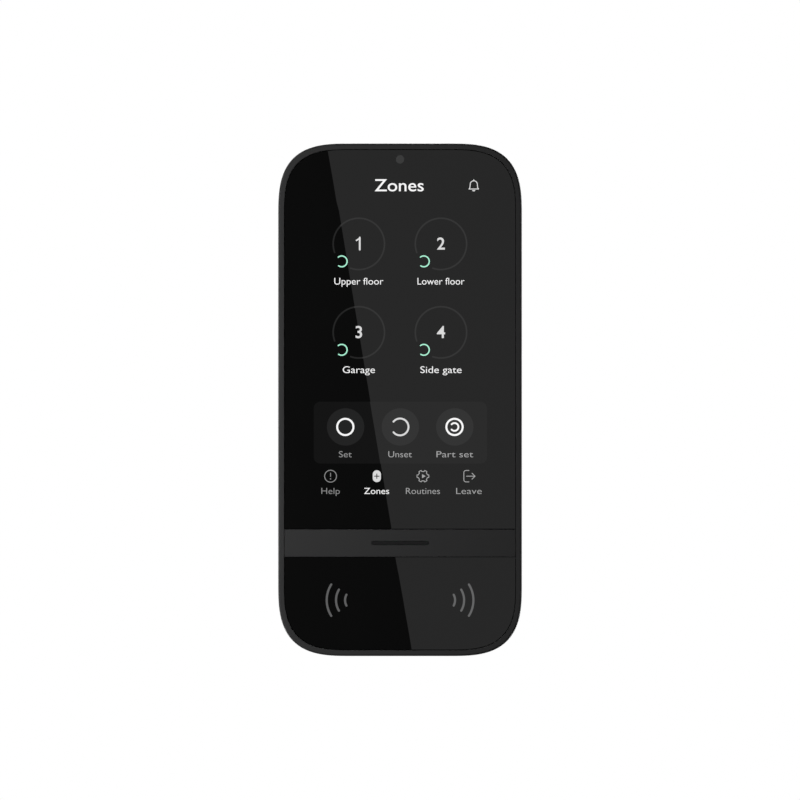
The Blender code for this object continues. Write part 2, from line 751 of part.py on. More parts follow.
def split_glass(low, high):
    """The part of the glass outline between two heights, as a plate."""
    inset = SEAT_INSET + GLASS_GAP
    whole = plate([body_outline(inset)], GLASS_BACK, GLASS_FRONT)
    if low > -HALF_HEIGHT:
        cut(whole, block((-0.05, 0.05), (-0.10, low), (0.020, 0.030)))
    if high < HALF_HEIGHT:
        cut(whole, block((-0.05, 0.05), (high, 0.10), (0.020, 0.030)))
    return whole


def make_front_faces():
    """Two glass panes with a moulded bar between them, its light slot and the sensor's lens."""
    keep(split_glass(STRIP_TOP + GLASS_GAP, HALF_HEIGHT), "display_glass", GLASS_BLACK)
    keep(split_glass(-HALF_HEIGHT, STRIP_BOTTOM - GLASS_GAP), "reader_glass", GLASS_BLACK)
    half = HALF_WIDTH - SEAT_INSET - GLASS_GAP
    slot = slot_outline(0, (STRIP_TOP + STRIP_BOTTOM) / 2, 0.0096, 0.0007)
    strip = plate(
        [[(half, STRIP_TOP), (-half, STRIP_TOP), (-half, STRIP_BOTTOM), (half, STRIP_BOTTOM)], slot],
        GLASS_BACK,
        GLASS_FRONT + 0.0001,
    )
    keep(strip, "center_strip", STRIP_GREY)
    guide = slot_outline(0, (STRIP_TOP + STRIP_BOTTOM) / 2, 0.0095, 0.0006)
    keep(plate([guide], GLASS_BACK, GLASS_FRONT), "status_light_guide", DIFFUSER)
    keep(post(0, SENSOR_Z, SENSOR_RADIUS, 0.0209, SHELF_FRONT), "light_sensor_lens", DIFFUSER)


def make_front_electronics():
    """Display, reader coil board, its ferrite sheet, the status light and the light sensor."""
    tray = rounded(DISPLAY_HALF_WIDTH, DISPLAY_BOTTOM, DISPLAY_TOP, 0.0016, 2, 3)
    keep(plate([tray], 0.0204, 0.0216), "backlight_tray", STEEL)
    panel = rounded(DISPLAY_HALF_WIDTH - 0.0004, DISPLAY_BOTTOM + 0.0010, DISPLAY_TOP - 0.0004, 0.0012, 2, 3)
    keep(plate([panel], 0.0217, 0.0226), "lcd_panel", LIQUID_CRYSTAL)

    inset = 0.0006
    sheet = rounded(READER_HALF_WIDTH - inset, READER_BOTTOM + inset, READER_TOP - inset, READER_CORNER, 3, 5)
    keep(plate([sheet], POCKET_FLOOR + 0.0001, POCKET_FLOOR + 0.00035), "ferrite_sheet", FERRITE)
    board = rounded(READER_HALF_WIDTH, READER_BOTTOM, READER_TOP, READER_CORNER, 3, 5)
    keep(plate([board], 0.0221, 0.0226), "reader_board", CIRCUIT_GREEN)

    middle = (STRIP_TOP + STRIP_BOTTOM) / 2
    board = rounded(0.0120, middle - 0.0025, middle + 0.0025, 0.0008, 2, 3)
    keep(plate([board], 0.0218, 0.0222), "indicator_board", CIRCUIT_GREEN)
    led = block((-0.0012, 0.0012), (middle - 0.0006, middle + 0.0006), (0.02225, 0.0226))
    keep(led, "status_led", DIFFUSER)
    board = plate([rounded(0.0040, SENSOR_Z - 0.0020, SENSOR_Z + 0.0016, 0.0006, 2, 3)], 0.0196, 0.0201)
    chip = block((-0.0010, 0.0010), (SENSOR_Z - 0.0007, SENSOR_Z + 0.0007), (0.0199, 0.0207))
    keep(join(board, chip), "light_sensor_board", CIRCUIT_GREEN)


# Main board and what is on it

BOARD_HALF_WIDTH = 0.0310
BOARD_LOW = -0.0378
BOARD_HIGH = 0.0725


def make_main_board():
    holes = [circle(x, z, 0.0012, 12) for x, z in BOARD_SCREWS]
    board = plate(
        [rounded(BOARD_HALF_WIDTH, BOARD_LOW, BOARD_HIGH, 0.0030, 2, 4)] + holes, BOARD_BACK, BOARD_FRONT
    )
    keep(board, "main_board", CIRCUIT_GREEN)
    for name, (x, z) in zip(("a", "b", "c", "d"), BOARD_SCREWS):
        fastener = turn_to_front(screw(0.0019, 0.0011, 0.0008, 0.0055, 0.0009), x, z, BOARD_FRONT + GAP / 2)
        keep(fastener, f"board_screw_{name}", SCREW_STEEL)


def shield_can(x, z, half_x, half_z, height):
    """A pressed can over a circuit, with a seam step round its foot."""
    top = BOARD_BACK - GAP
    can = plate([shifted(rounded(half_x, z - half_z, z + half_z, 0.0010, 2, 3), x)], top - height, top)
    foot = plate(
        [shifted(rounded(half_x + 0.0004, z - half_z - 0.0004, z + half_z + 0.0004, 0.0012, 2, 3), x)],
        top - 0.0006,
        top,
    )
    return join(can, foot)


def make_board_components():
    """Shielded circuits, aerial, sounder, capacitor and the display's connector."""
    top = BOARD_BACK - GAP
    keep(shield_can(-0.0180, -0.0080, 0.0095, 0.0085, 0.0024), "processor_shield", STEEL)
    keep(shield_can(0.0195, 0.0470, 0.0080, 0.0070, 0.0020), "radio_shield", STEEL)

    height = 0.0056
    port = [(0, height - 0.0006), (0.0012, height - 0.0006), (0.0012, height)]
    drum = [(0.0058, height), (0.0060, height - 0.0003), (0.0060, 0), (0, 0)]
    sounder = turned(port + drum, 24)
    keep(turn_to_rear(sounder, -0.0215, 0.0400, top), "sounder", CONNECTOR_BLACK)

    can = turned([(0, 0.0068), (0.0026, 0.0068), (0.0030, 0.0064), (0.0030, 0.0008), (0.0032, 0), (0, 0)], 20)
    keep(turn_to_rear(can, -0.0215, 0.0200, top), "reservoir_capacitor", STEEL)

    # An inverted-F aerial: a rail held off the board on one leg.
    rail = block((-0.0160, 0.0160), (0.0655, 0.0685), (0.0092, 0.0096))
    leg = block((-0.0160, -0.0156), (0.0655, 0.0685), (0.0094, top))
    feed = block((-0.0100, -0.0096), (0.0655, 0.0675), (0.0094, top))
    keep(join(rail, leg, feed), "radio_antenna", NICKEL)

    connector = block((-0.0110, 0.0110), (-0.0300, -0.0255), (BOARD_FRONT + GAP, BOARD_FRONT + 0.0014))
    keep(connector, "display_connector", CONNECTOR_BLACK)


def bend(centre_depth, centre_z, radius, start, end, steps=5):
    """Points of an arc in depth and z."""
    points = []
    for step in range(steps + 1):
        angle = start + (end - start) * step / steps
        points.append((centre_depth + radius * cos(angle), centre_z + radius * sin(angle)))
    return points


def make_ribbons():
    """Flat leads from the display and the reader board to the main board."""
    middle = 0.0188
    radius = 0.0013
    path = [(middle + radius, -0.0180)]
    path += bend(middle, -0.0340, radius, 0, -pi)
    path += [(middle - radius, -0.0305)]
    keep(ribbon(path, 0, 0.0090, 0.00015), "display_ribbon", RIBBON_AMBER)

    front = 0.0219
    path = [(front, -0.0537), (front, -0.0400)]
    path += bend(front - 0.0012, -0.0398, 0.0012, 0, pi / 2, 4)
    path += [(0.0172, -0.0386)]
    path += bend(0.0172, -0.0377, 0.0009, -pi / 2, -pi, 4)
    path += [(0.0163, -0.0340)]
    keep(ribbon(path, RIBBON_X, RIBBON_HALF, 0.00015), "reader_ribbon", RIBBON_AMBER)


# Supply terminal


def make_terminal():
    """A header on the board and the plug that pulls down off its pins, with two clamp screws."""
    sides = (-PLUG_HALF_WIDTH, PLUG_HALF_WIDTH)
    header = block(sides, (PLUG_HIGH + GAP, TERMINAL_POCKET_HIGH - GAP), (PLUG_BACK, BOARD_BACK - GAP))
    for x in (-POLE_X, POLE_X):
        join(header, upright(x, POLE_PIN_DEPTH, 0.0005, PLUG_HIGH - 0.0045, PLUG_HIGH + 0.0012, 8))
    keep(header, "terminal_header", TERMINAL_GREEN)

    plug = block(sides, (PLUG_LOW, PLUG_HIGH), (PLUG_BACK, PLUG_FRONT))
    for x in (-POLE_X, POLE_X):
        cut(
            plug,
            upright(x, POLE_PIN_DEPTH, 0.0007, PLUG_HIGH - 0.0050, PLUG_HIGH + 0.001, 8),
            upright(x, WIRE_HOLE_DEPTH, 0.0012, PLUG_LOW - 0.001, PLUG_LOW + 0.0030, 12),
            post(x, PLUG_LOW + CLAMP_RISE, 0.0017, PLUG_BACK - 0.001, PLUG_BACK + 0.0026),
        )
    keep(plug, "terminal_plug", TERMINAL_GREEN, SUPPLY_PLUG)

    for side, x in both_sides(POLE_X):
        clamp = turned([(0, 0.0018), (0.0012, 0.0018), (0.0014, 0.0016), (0.0014, 0), (0, 0)], 16)
        slot = block((-0.0020, 0.0020), (0.0010, 0.0030), (-0.00025, 0.00025))
        clamp = turn_to_rear(cut(clamp, slot), x, PLUG_LOW + CLAMP_RISE, PLUG_BACK + 0.0023)
        keep(clamp, f"terminal_screw_{side}", NICKEL, CLAMP_SCREWS[side])


# Tamper contact


def make_tamper():
    """A plunger through the rear wall's well, its spring, and the switch that it works."""
    shoulder = 0.0068
    end = 0.0100
    plunger = turned(
        [
            (0, end - TAMPER_TIP),
            (0.0009, end - TAMPER_TIP),
            (0.0015, end - TAMPER_TIP - 0.0006),
            (0.0015, end - shoulder),
            (0.0026, end - shoulder),
            (0.0026, end - shoulder - 0.0010),
            (0.0013, end - shoulder - 0.0010),
            (0.0013, 0),
            (0, 0),
        ]
    )
    keep(turn_to_rear(plunger, TAMPER_X, TAMPER_Z, end), "tamper_plunger", CONNECTOR_BLACK, PLUNGER)

    spring = coil(0.0021, 0.0021, 0, 0.0026, 4, 0.00035, 10)
    keep(turn_to_rear(spring, TAMPER_X, TAMPER_Z, 0.0108), "tamper_spring", STEEL)

    half = 0.0030
    sides = (TAMPER_X - half, TAMPER_X + half)
    body = block(sides, (TAMPER_Z - half, TAMPER_Z + half), (0.0112, BOARD_BACK - GAP))
    button = post(TAMPER_X, TAMPER_Z, 0.0012, 0.0103, 0.0116, 12)
    keep(join(body, button), "tamper_switch", CONNECTOR_BLACK)


# Batteries


def cell_places():
    """Each cell's name, its x, and whether its nub is at the top. The outer pair stand on their springs."""
    return (
        ("outer_left", CELL_X[0], True),
        ("inner_left", CELL_X[1], False),
        ("inner_right", CELL_X[2], False),
        ("outer_right", CELL_X[3], True),
    )


def make_cells():
    radius = CELL_RADIUS - 0.0001
    for name, x, nub_up in cell_places():
        profile = [
            (0, CELL_LENGTH + CELL_NUB),
            (0.0030, CELL_LENGTH + CELL_NUB),
            (0.0030, CELL_LENGTH),
            (radius - 0.0004, CELL_LENGTH),
            (radius, CELL_LENGTH - 0.0004),
            (radius, 0.0004),
            (radius - 0.0004, 0),
            (0, 0),
        ]
        cell = turned(profile, 28)
        if nub_up:
            top = BAY_TOP - CONTACT_THICKNESS - 0.0002
            cell.matrix_basis = Matrix.Translation((x, -CELL_AXIS, top - CELL_LENGTH - CELL_NUB))
        else:
            bottom = BAY_BOTTOM + CONTACT_THICKNESS + 0.0002
            flip = Matrix.Rotation(pi, 4, "X")
            cell.matrix_basis = Matrix.Translation((x, -CELL_AXIS, bottom + CELL_LENGTH + CELL_NUB)) @ flip
        keep(in_place(cell), f"battery_cell_{name}", CELL_SLEEVE)

        spring = coil(0.0042, 0.0024, 0, SPRING_LENGTH, 2.5, 0.0006)
        if nub_up:
            foot = BAY_BOTTOM + CONTACT_THICKNESS + 0.0005
            spring.matrix_basis = Matrix.Translation((x, -CELL_AXIS, foot))
        else:
            foot = BAY_TOP - CONTACT_THICKNESS - 0.0005
            spring.matrix_basis = Matrix.Translation((x, -CELL_AXIS, foot)) @ Matrix.Rotation(pi, 4, "X")
        keep(in_place(spring), f"battery_spring_{name}", NICKEL)


def make_contacts():
    """Plates at both ends of the bay. Each upper one joins a pair, the lower middle one joins both pairs."""
    depth = (CONTACT_LOW, CONTACT_HIGH)
    upper = (BAY_TOP - CONTACT_THICKNESS, BAY_TOP)
    lower = (BAY_BOTTOM, BAY_BOTTOM + CONTACT_THICKNESS)
    reach = 0.0045
    keep(block((CELL_X[0] - reach, CELL_X[1] + reach), upper, depth), "battery_contact_top_left", NICKEL)
    keep(block((CELL_X[2] - reach, CELL_X[3] + reach), upper, depth), "battery_contact_top_right", NICKEL)
    keep(block((CELL_X[0] - reach, CELL_X[0] + reach), lower, depth), "battery_contact_bottom_left", NICKEL)
    keep(block((CELL_X[1] - reach, CELL_X[2] + reach), lower, depth), "battery_contact_bottom_middle", NICKEL)
    keep(block((CELL_X[3] - reach, CELL_X[3] + reach), lower, depth), "battery_contact_bottom_right", NICKEL)


def make_battery_door():
    """Flush rear cover with two ears for screws, and tongues that tuck under the housing's wall."""
    door = plate([rounded(DOOR_HALF_WIDTH, DOOR_BOTTOM, DOOR_TOP, DOOR_CORNER, 3, 8)], REAR_FACE, DOOR_FRONT)
    for x in (-DOOR_SCREW_X, DOOR_SCREW_X):
        join(door, plate([ear_outline(x, EAR_RADIUS)], REAR_FACE, REAR_FACE + EAR_THICKNESS))
        tongue = (
            (DOOR_BOTTOM + 0.0030, DOOR_FRONT - 0.0004),
            (DOOR_BOTTOM + 0.0030, REAR_INSIDE + 0.0012),
            (DOOR_BOTTOM - 0.0014, REAR_INSIDE + 0.0012),
            (DOOR_BOTTOM - 0.0014, REAR_INSIDE + GAP),
            (DOOR_BOTTOM + 0.0005, REAR_INSIDE + GAP),
            (DOOR_BOTTOM + 0.0005, DOOR_FRONT - 0.0004),
        )
        join(door, prism(tongue, x - 0.0030, x + 0.0030))
        cut(
            door,
            post(x, DOOR_SCREW_Z, 0.0011, 0.0010, 0.0050, 12),
            post(x, DOOR_SCREW_Z, 0.0022, 0.0010, REAR_FACE + EAR_THICKNESS / 2),
        )
    keep(door, "battery_door", CASE_BLACK)


def make_screws():
    for side, x in both_sides(DOOR_SCREW_X):
        fastener = screw(0.0019, 0.0004, 0.0008, 0.0034, 0.0008)
        seat = REAR_FACE + EAR_THICKNESS / 2 - 0.0001
        keep(turn_to_rear(fastener, x, DOOR_SCREW_Z, seat), f"door_screw_{side}", SCREW_STEEL)
    for side, x in both_sides(CASE_SCREW_X):
        for level, z in zip(("top", "middle", "bottom"), CASE_SCREW_Z):
            fastener = screw(0.0020, 0.0013, 0.0010, 0.0068, 0.0010)
            keep(turn_to_rear(fastener, x, z, CASE_SEAT - GAP / 2), f"case_screw_{side}_{level}", SCREW_STEEL)


def make_label():
    """A blank rating label on the battery door."""
    keep(
        plate([rounded(0.0150, -0.0700, -0.0540, 0.0010, 2, 3)], REAR_FACE - 0.0002, REAR_FACE - 0.00006),
        "rating_label",
        LABEL_WHITE,
    )


make_mounting_panel()
make_holding_screw()
make_rear_housing()
make_front_frame()
make_front_faces()
make_front_electronics()
make_main_board()
make_board_components()
make_ribbons()
make_terminal()
make_tamper()
make_cells()
make_contacts()
make_battery_door()
make_screws()
make_label()
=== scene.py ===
from math import atan2, cos, pi, radians, sin, tau

import bpy
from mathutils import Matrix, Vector


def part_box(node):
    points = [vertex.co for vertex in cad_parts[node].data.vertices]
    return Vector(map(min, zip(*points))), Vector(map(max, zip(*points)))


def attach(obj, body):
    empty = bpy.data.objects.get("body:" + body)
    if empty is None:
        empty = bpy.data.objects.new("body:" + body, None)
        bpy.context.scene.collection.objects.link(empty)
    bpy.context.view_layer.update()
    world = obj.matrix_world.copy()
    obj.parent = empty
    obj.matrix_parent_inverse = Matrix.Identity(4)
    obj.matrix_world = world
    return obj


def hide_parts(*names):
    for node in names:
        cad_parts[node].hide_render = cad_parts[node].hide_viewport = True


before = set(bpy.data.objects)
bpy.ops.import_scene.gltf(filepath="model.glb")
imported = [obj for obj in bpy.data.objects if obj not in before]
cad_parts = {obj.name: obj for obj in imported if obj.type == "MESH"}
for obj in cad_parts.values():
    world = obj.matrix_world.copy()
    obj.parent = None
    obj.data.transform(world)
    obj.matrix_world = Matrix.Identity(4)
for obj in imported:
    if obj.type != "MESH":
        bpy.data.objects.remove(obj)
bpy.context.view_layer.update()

# Wall panel
# The part that is screwed to the wall: one flat moulding of black ASA with hooks for the keypad, coring
# fields on its wall side, a cable window, slotted screw holes and a tongue that breaks out when the keypad
# is torn off.


class Wire:
    """One socket of a material. Sums of wires add their Math nodes, and node adds any other node."""

    def __init__(self, tree, socket=None):
        self.tree = tree
        self.socket = socket

    def node(self, kind, settings, values, output=0):
        """Adds a node, sets it up first, fills its sockets, and gives one of its outputs."""
        made = self.tree.nodes.new("ShaderNode" + kind)
        for name, value in settings.items():
            setattr(made, name, value)
        for name, value in values.items():
            if isinstance(value, Wire):
                self.tree.links.new(value.socket, made.inputs[name])
            else:
                made.inputs[name].default_value = value
        return Wire(self.tree, made.outputs[output])

    def maths(self, operation, first, second):
        return self.node("Math", {"operation": operation}, {0: first, 1: second})

    def __add__(self, other):
        return self.maths("ADD", self, other)

    __radd__ = __add__

    def __sub__(self, other):
        return self.maths("SUBTRACT", self, other)

    def __rsub__(self, other):
        return self.maths("SUBTRACT", other, self)

    def __mul__(self, other):
        return self.maths("MULTIPLY", self, other)

    __rmul__ = __mul__

    def __truediv__(self, other):
        return self.maths("DIVIDE", self, other)

    def __rtruediv__(self, other):
        return self.maths("DIVIDE", other, self)

    def above(self, limit):
        return self.maths("GREATER_THAN", self, limit)

    def fraction(self):
        return self.node("Math", {"operation": "FRACT"}, {0: self})

    def axis(self, number):
        """One of three coordinates: 0 is across, 1 is deep and 2 is high."""
        return self.node("SeparateXYZ", {}, {"Vector": self}, number)

    def noise(self, size, detail=2.0, roughness=0.5):
        """Noise whose lumps are about that many metres across. It runs from 0 to 1 round a mean of 0.5."""
        values = {"Vector": self, "Scale": 1 / size, "Detail": detail, "Roughness": roughness}
        return self.node("TexNoise", {}, values)

    def between(self, low, high):
        """A colour from low to high, as this value goes from 0 to 1."""
        return self.node("Mix", {"data_type": "RGBA"}, {0: self, 6: (*low, 1), 7: (*high, 1)}, 2)

    def stretched(self, *factors):
        """Coordinates multiplied axis by axis, for a pattern that is longer one way."""
        return self.node("VectorMath", {"operation": "MULTIPLY"}, {0: self, 1: factors})

    def relief(self, distance, strength=1.0):
        """A bumped normal, from this value as a height of that many metres."""
        return self.node("Bump", {}, {"Height": self, "Distance": distance, "Strength": strength})

    def feeds(self, shader, socket):
        self.tree.links.new(self.socket, shader.inputs[socket])


def new_finish(name, **constants):
    """A material with its fixed values on the shader's own sockets, and the wire its patterns start from."""
    material = bpy.data.materials.new(name)
    material.use_nodes = True
    shader = material.node_tree.nodes["Principled BSDF"]
    for socket, value in constants.items():
        shader.inputs[socket.replace("_", " ")].default_value = value
    place = Wire(material.node_tree).node("TexCoord", {}, {}, "Object")
    return material, shader, place


def grained_plastic(name, dark, light, roughness, grain=0.00022, height=0.000008):
    """Moulded plastic: the spark-eroded grain of the tool, and a shine that drifts a little."""
    material, shader, place = new_finish(name, IOR=1.5)
    drift = place.noise(0.030, 3)
    speck = place.noise(0.0012, 2)
    (drift * 0.7 + speck * 0.3).between(dark, light).feeds(shader, "Base Color")
    (drift * 0.10 + speck * 0.06 + (roughness - 0.08)).feeds(shader, "Roughness")
    place.noise(grain, 3, 0.6).relief(height, 0.5).feeds(shader, "Normal")
    return material


def only(obj):
    """Leaves one object selected and active, in object mode."""
    if bpy.context.mode != "OBJECT":
        bpy.ops.object.mode_set(mode="OBJECT")
    bpy.ops.object.select_all(action="DESELECT")
    obj.select_set(True)
    bpy.context.view_layer.objects.active = obj


def edit(obj, what="SELECT"):
    """Goes into edit mode on one object, with all of it or none of it selected."""
    only(obj)
    bpy.ops.object.mode_set(mode="EDIT")
    bpy.ops.mesh.select_all(action=what)


def settled(obj):
    """Puts a piece's place, turn and size into its mesh."""
    only(obj)
    bpy.ops.object.transform_apply(location=True, rotation=True, scale=True)
    return obj


def merged_copy(node):
    """A copy of a CAD node with its loose triangles sewn up and its flat faces made whole again."""
    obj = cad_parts[node].copy()
    obj.data = obj.data.copy()
    obj.parent = None
    for key in list(obj.keys()):
        del obj[key]
    bpy.context.scene.collection.objects.link(obj)
    edit(obj)
    bpy.ops.mesh.customdata_custom_splitnormals_clear()
    bpy.ops.mesh.remove_doubles(threshold=1e-6)
    bpy.ops.mesh.dissolve_limited(angle_limit=radians(0.6))
    only(obj)
    return obj


def soften(obj, width, segments=2, angle=32):
    """Rounds the sharp edges a little, as a mould leaves them, and shades the curves smooth."""
    only(obj)
    edge = obj.modifiers.new("edge", "BEVEL")
    edge.width = width
    edge.segments = segments
    edge.limit_method = "ANGLE"
    edge.angle_limit = radians(angle)
    bpy.ops.object.modifier_apply(modifier="edge")
    smooth(obj)


def smooth(obj):
    """Shades the curves smooth and lets the flat faces keep theirs."""
    only(obj)
    bpy.ops.object.shade_smooth_by_angle(angle=radians(38))
    facing = obj.modifiers.new("facing", "WEIGHTED_NORMAL")
    facing.keep_sharp = True
    bpy.ops.object.modifier_apply(modifier="facing")


def finished(obj, name, material, body="keypad", replaced=()):
    """Names a piece, gives it its material, and lets it move with its body."""
    settled(obj)
    obj.name = obj.data.name = name
    obj.data.materials.clear()
    obj.data.materials.append(material)
    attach(obj, body)
    if replaced:
        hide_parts(*replaced)
    return obj


def refinished(material, *nodes):
    """Gives CAD nodes a better material. Their meshes stay as they are."""
    for node in nodes:
        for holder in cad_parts[node].material_slots:
            holder.material = material


bracket_plastic = grained_plastic("bracket_black", (0.022, 0.022, 0.023), (0.031, 0.031, 0.032), 0.62,
                                  grain=0.0003, height=0.000014)
wall_panel = merged_copy("mounting_panel")
soften(wall_panel, 0.00012)
finished(wall_panel, "wall_panel", bracket_plastic, "wall_bracket", ["mounting_panel"])

# Holding screw
# A zinc-plated steel machine screw with a hexagon socket. It goes up through the lug at the bottom of the
# wall panel and keeps the keypad from being slid off.


def turned_steel(name, tint, dull, pitch):
    """Bright metal with fine rings or lines from the tool that cut or rolled it."""
    material, shader, place = new_finish(name, Metallic=1.0)
    streak = place.stretched(1, 1, 12).noise(pitch, 3)
    cloud = place.noise(0.004, 3)
    (cloud * 0.6 + streak * 0.4).between(dull, tint).feeds(shader, "Base Color")
    (streak * 0.16 + cloud * 0.12 + 0.20).feeds(shader, "Roughness")
    streak.relief(0.000006, 0.5).feeds(shader, "Normal")
    return material


screw_steel = turned_steel("screw_steel", (0.52, 0.52, 0.53), (0.34, 0.34, 0.35), 0.0004)
refinished(screw_steel, "holding_screw")

# Rear housing
# The keypad's deep tub, moulded in the same black plastic as the front. Its side walls are what shows from
# the sides, and it holds the battery bay, the screw posts and the terminal pocket.

case_plastic = grained_plastic("case_black", (0.0335, 0.0335, 0.0338), (0.0405, 0.0405, 0.0408), 0.55)
housing_shell = merged_copy("rear_housing")
soften(housing_shell, 0.00010)
finished(housing_shell, "housing_shell", case_plastic, replaced=["rear_housing"])

# Case screws
# Six self-tapping screws drive from the tub into the posts of the front frame, four hold the main board,
# and two hold the battery door.

for side in ("left", "right"):
    refinished(screw_steel, *(f"case_screw_{side}_{level}" for level in ("top", "middle", "bottom")))
    refinished(screw_steel, f"door_screw_{side}", f"terminal_screw_{side}")
refinished(screw_steel, *(f"board_screw_{letter}" for letter in "abcd"))

# Battery bay
# Four lithium cells in printed shrink sleeve, each held by a wire spring against nickel-plated strips. The
# door is a thin moulding, with a blank paper rating label behind it on the tub.

sleeve_foil, shader, place = new_finish("cell_sleeve", Coat_Roughness=0.12, IOR=1.5)
height = place.axis(2)
SLEEVE_BAND = 0.80
lowest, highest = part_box("battery_cell_outer_left")
band = height.above(lowest.z + SLEEVE_BAND * (highest.z - lowest.z))
wrinkle = place.stretched(1, 1, 0.25).noise(0.0011, 3)
(band * 0.8 + wrinkle * 0.2).between((0.055, 0.065, 0.090), (0.42, 0.30, 0.07)).feeds(shader, "Base Color")
(wrinkle * 0.18 + 0.20).feeds(shader, "Roughness")
(wrinkle * 0.5 + 0.3).feeds(shader, "Coat Weight")
wrinkle.relief(0.00003, 0.4).feeds(shader, "Normal")
nickel = turned_steel("nickel", (0.68, 0.64, 0.56), (0.50, 0.47, 0.41), 0.0009)
spring_steel = turned_steel("steel", (0.62, 0.62, 0.63), (0.44, 0.44, 0.45), 0.0006)
for row in ("outer", "inner"):
    for side in ("left", "right"):
        refinished(sleeve_foil, f"battery_cell_{row}_{side}")
        refinished(spring_steel, f"battery_spring_{row}_{side}")
for corner in ("top_left", "top_right", "bottom_left", "bottom_middle", "bottom_right"):
    refinished(nickel, f"battery_contact_{corner}")
battery_cover = merged_copy("battery_door")
soften(battery_cover, 0.00010)
finished(battery_cover, "battery_cover", case_plastic, replaced=["battery_door"])

paper, shader, place = new_finish("label_white", IOR=1.45)
fibre = place.stretched(1, 1, 3).noise(0.0004, 4, 0.65)
fibre.between((0.66, 0.66, 0.64), (0.80, 0.80, 0.78)).feeds(shader, "Base Color")
(fibre * 0.2 + 0.45).feeds(shader, "Roughness")
fibre.relief(0.000008, 0.5).feeds(shader, "Normal")
refinished(paper, "rating_label")

# Main board
# A green solder-masked circuit board that lies across the tub, with two folded tinplate shields, the wire
# aerial, a sounder, a reservoir capacitor and the display connector.


def solder_mask(name, mask, copper, pitch):
    """Green resist over copper: straight traces, some upright and some level, show through as paler lines."""
    material, shader, place = new_finish(name, IOR=1.5)
    lines = []
    for number in (0, 2):
        lines.append((place.axis(number) / pitch).fraction().above(0.55))
    field = place.noise(pitch * 7, 1).above(0.5)
    ground = place.noise(pitch * 5, 2).above(0.56)
    trace = field * lines[0] + (1 - field) * lines[1]
    copper_here = ground + (1 - ground) * trace
    dust = place.noise(0.0006, 3)
    (copper_here * 0.8 + dust * 0.2).between(mask, copper).feeds(shader, "Base Color")
    (dust * 0.15 + 0.28).feeds(shader, "Roughness")
    copper_here.relief(0.00002, 0.5).feeds(shader, "Normal")
    return material


circuit_green = solder_mask("circuit_green", (0.012, 0.068, 0.034), (0.024, 0.112, 0.056), 0.0009)
refinished(circuit_green, "main_board", "indicator_board", "light_sensor_board", "reader_board")
tinplate = turned_steel("tinplate", (0.66, 0.66, 0.65), (0.52, 0.52, 0.52), 0.0008)
refinished(tinplate, "processor_shield", "radio_shield", "reservoir_capacitor")
refinished(nickel, "radio_antenna")
connector_plastic = grained_plastic("connector_black", (0.016, 0.016, 0.016), (0.026, 0.026, 0.026), 0.45,
                                    grain=0.00012, height=0.000004)
refinished(connector_plastic, "sounder", "display_connector")

# Supply terminal
# A green two-pole header and its pull-off plug, which a fitter reaches through the window in the wall
# panel. Two steel screws clamp the wires. The header's tinned pins show below it once the plug is pulled
# down.

DARK_GREEN, LIGHT_GREEN = (0.030, 0.185, 0.080), (0.050, 0.260, 0.120)
DARK_TIN, LIGHT_TIN = (0.62, 0.61, 0.59), (0.74, 0.73, 0.71)
terminal_green = grained_plastic("terminal_green", DARK_GREEN, LIGHT_GREEN, 0.46,
                                 grain=0.00018, height=0.000006)
refinished(terminal_green, "terminal_plug")
HEADER_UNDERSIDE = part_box("terminal_plug")[1].z + 0.00002
header_finish, shader, place = new_finish("terminal_header", IOR=1.5)
grain = place.noise(0.0012, 2)
pin = 1 - place.axis(2).above(HEADER_UNDERSIDE)
green, tin = grain.between(DARK_GREEN, LIGHT_GREEN), grain.between(DARK_TIN, LIGHT_TIN)
pin.node("Mix", {"data_type": "RGBA"}, {0: pin, 6: green, 7: tin}, 2).feeds(shader, "Base Color")
pin.feeds(shader, "Metallic")
(grain * 0.08 + 0.42 - pin * 0.16).feeds(shader, "Roughness")
refinished(header_finish, "terminal_header")

# Tamper contact
# A plunger on a coil spring, which the tongue of the wall panel presses, and a small black switch above
# it. The switch opens when the keypad is slid up or torn off the wall.

refinished(connector_plastic, "tamper_plunger", "tamper_switch")
refinished(spring_steel, "tamper_spring")

# Flat cables
# Amber polyimide film with copper lines, one from the display and one from the reader, each folded down to
# the main board.

film, shader, place = new_finish("ribbon_amber", Coat_Roughness=0.08, IOR=1.6)
CONDUCTOR_PITCH = 0.0008
conductor = (place.axis(0) / CONDUCTOR_PITCH).fraction().above(0.42)
cloud = place.noise(0.003, 2)
(conductor * 0.8 + cloud * 0.2).between((0.36, 0.13, 0.020), (0.52, 0.24, 0.060)).feeds(shader, "Base Color")
(cloud * 0.2 + 0.22).feeds(shader, "Roughness")
(cloud * 0.4 + 0.4).feeds(shader, "Coat Weight")
conductor.relief(0.00003, 0.5).feeds(shader, "Normal")
refinished(film, "display_ribbon", "reader_ribbon")

# Front frame
# The thin bezel round the glass, moulded in black plastic in one piece with the shelf that the panes are
# bonded to, the wells for the display and the reader coil, a locating lip and the posts for the case
# screws.

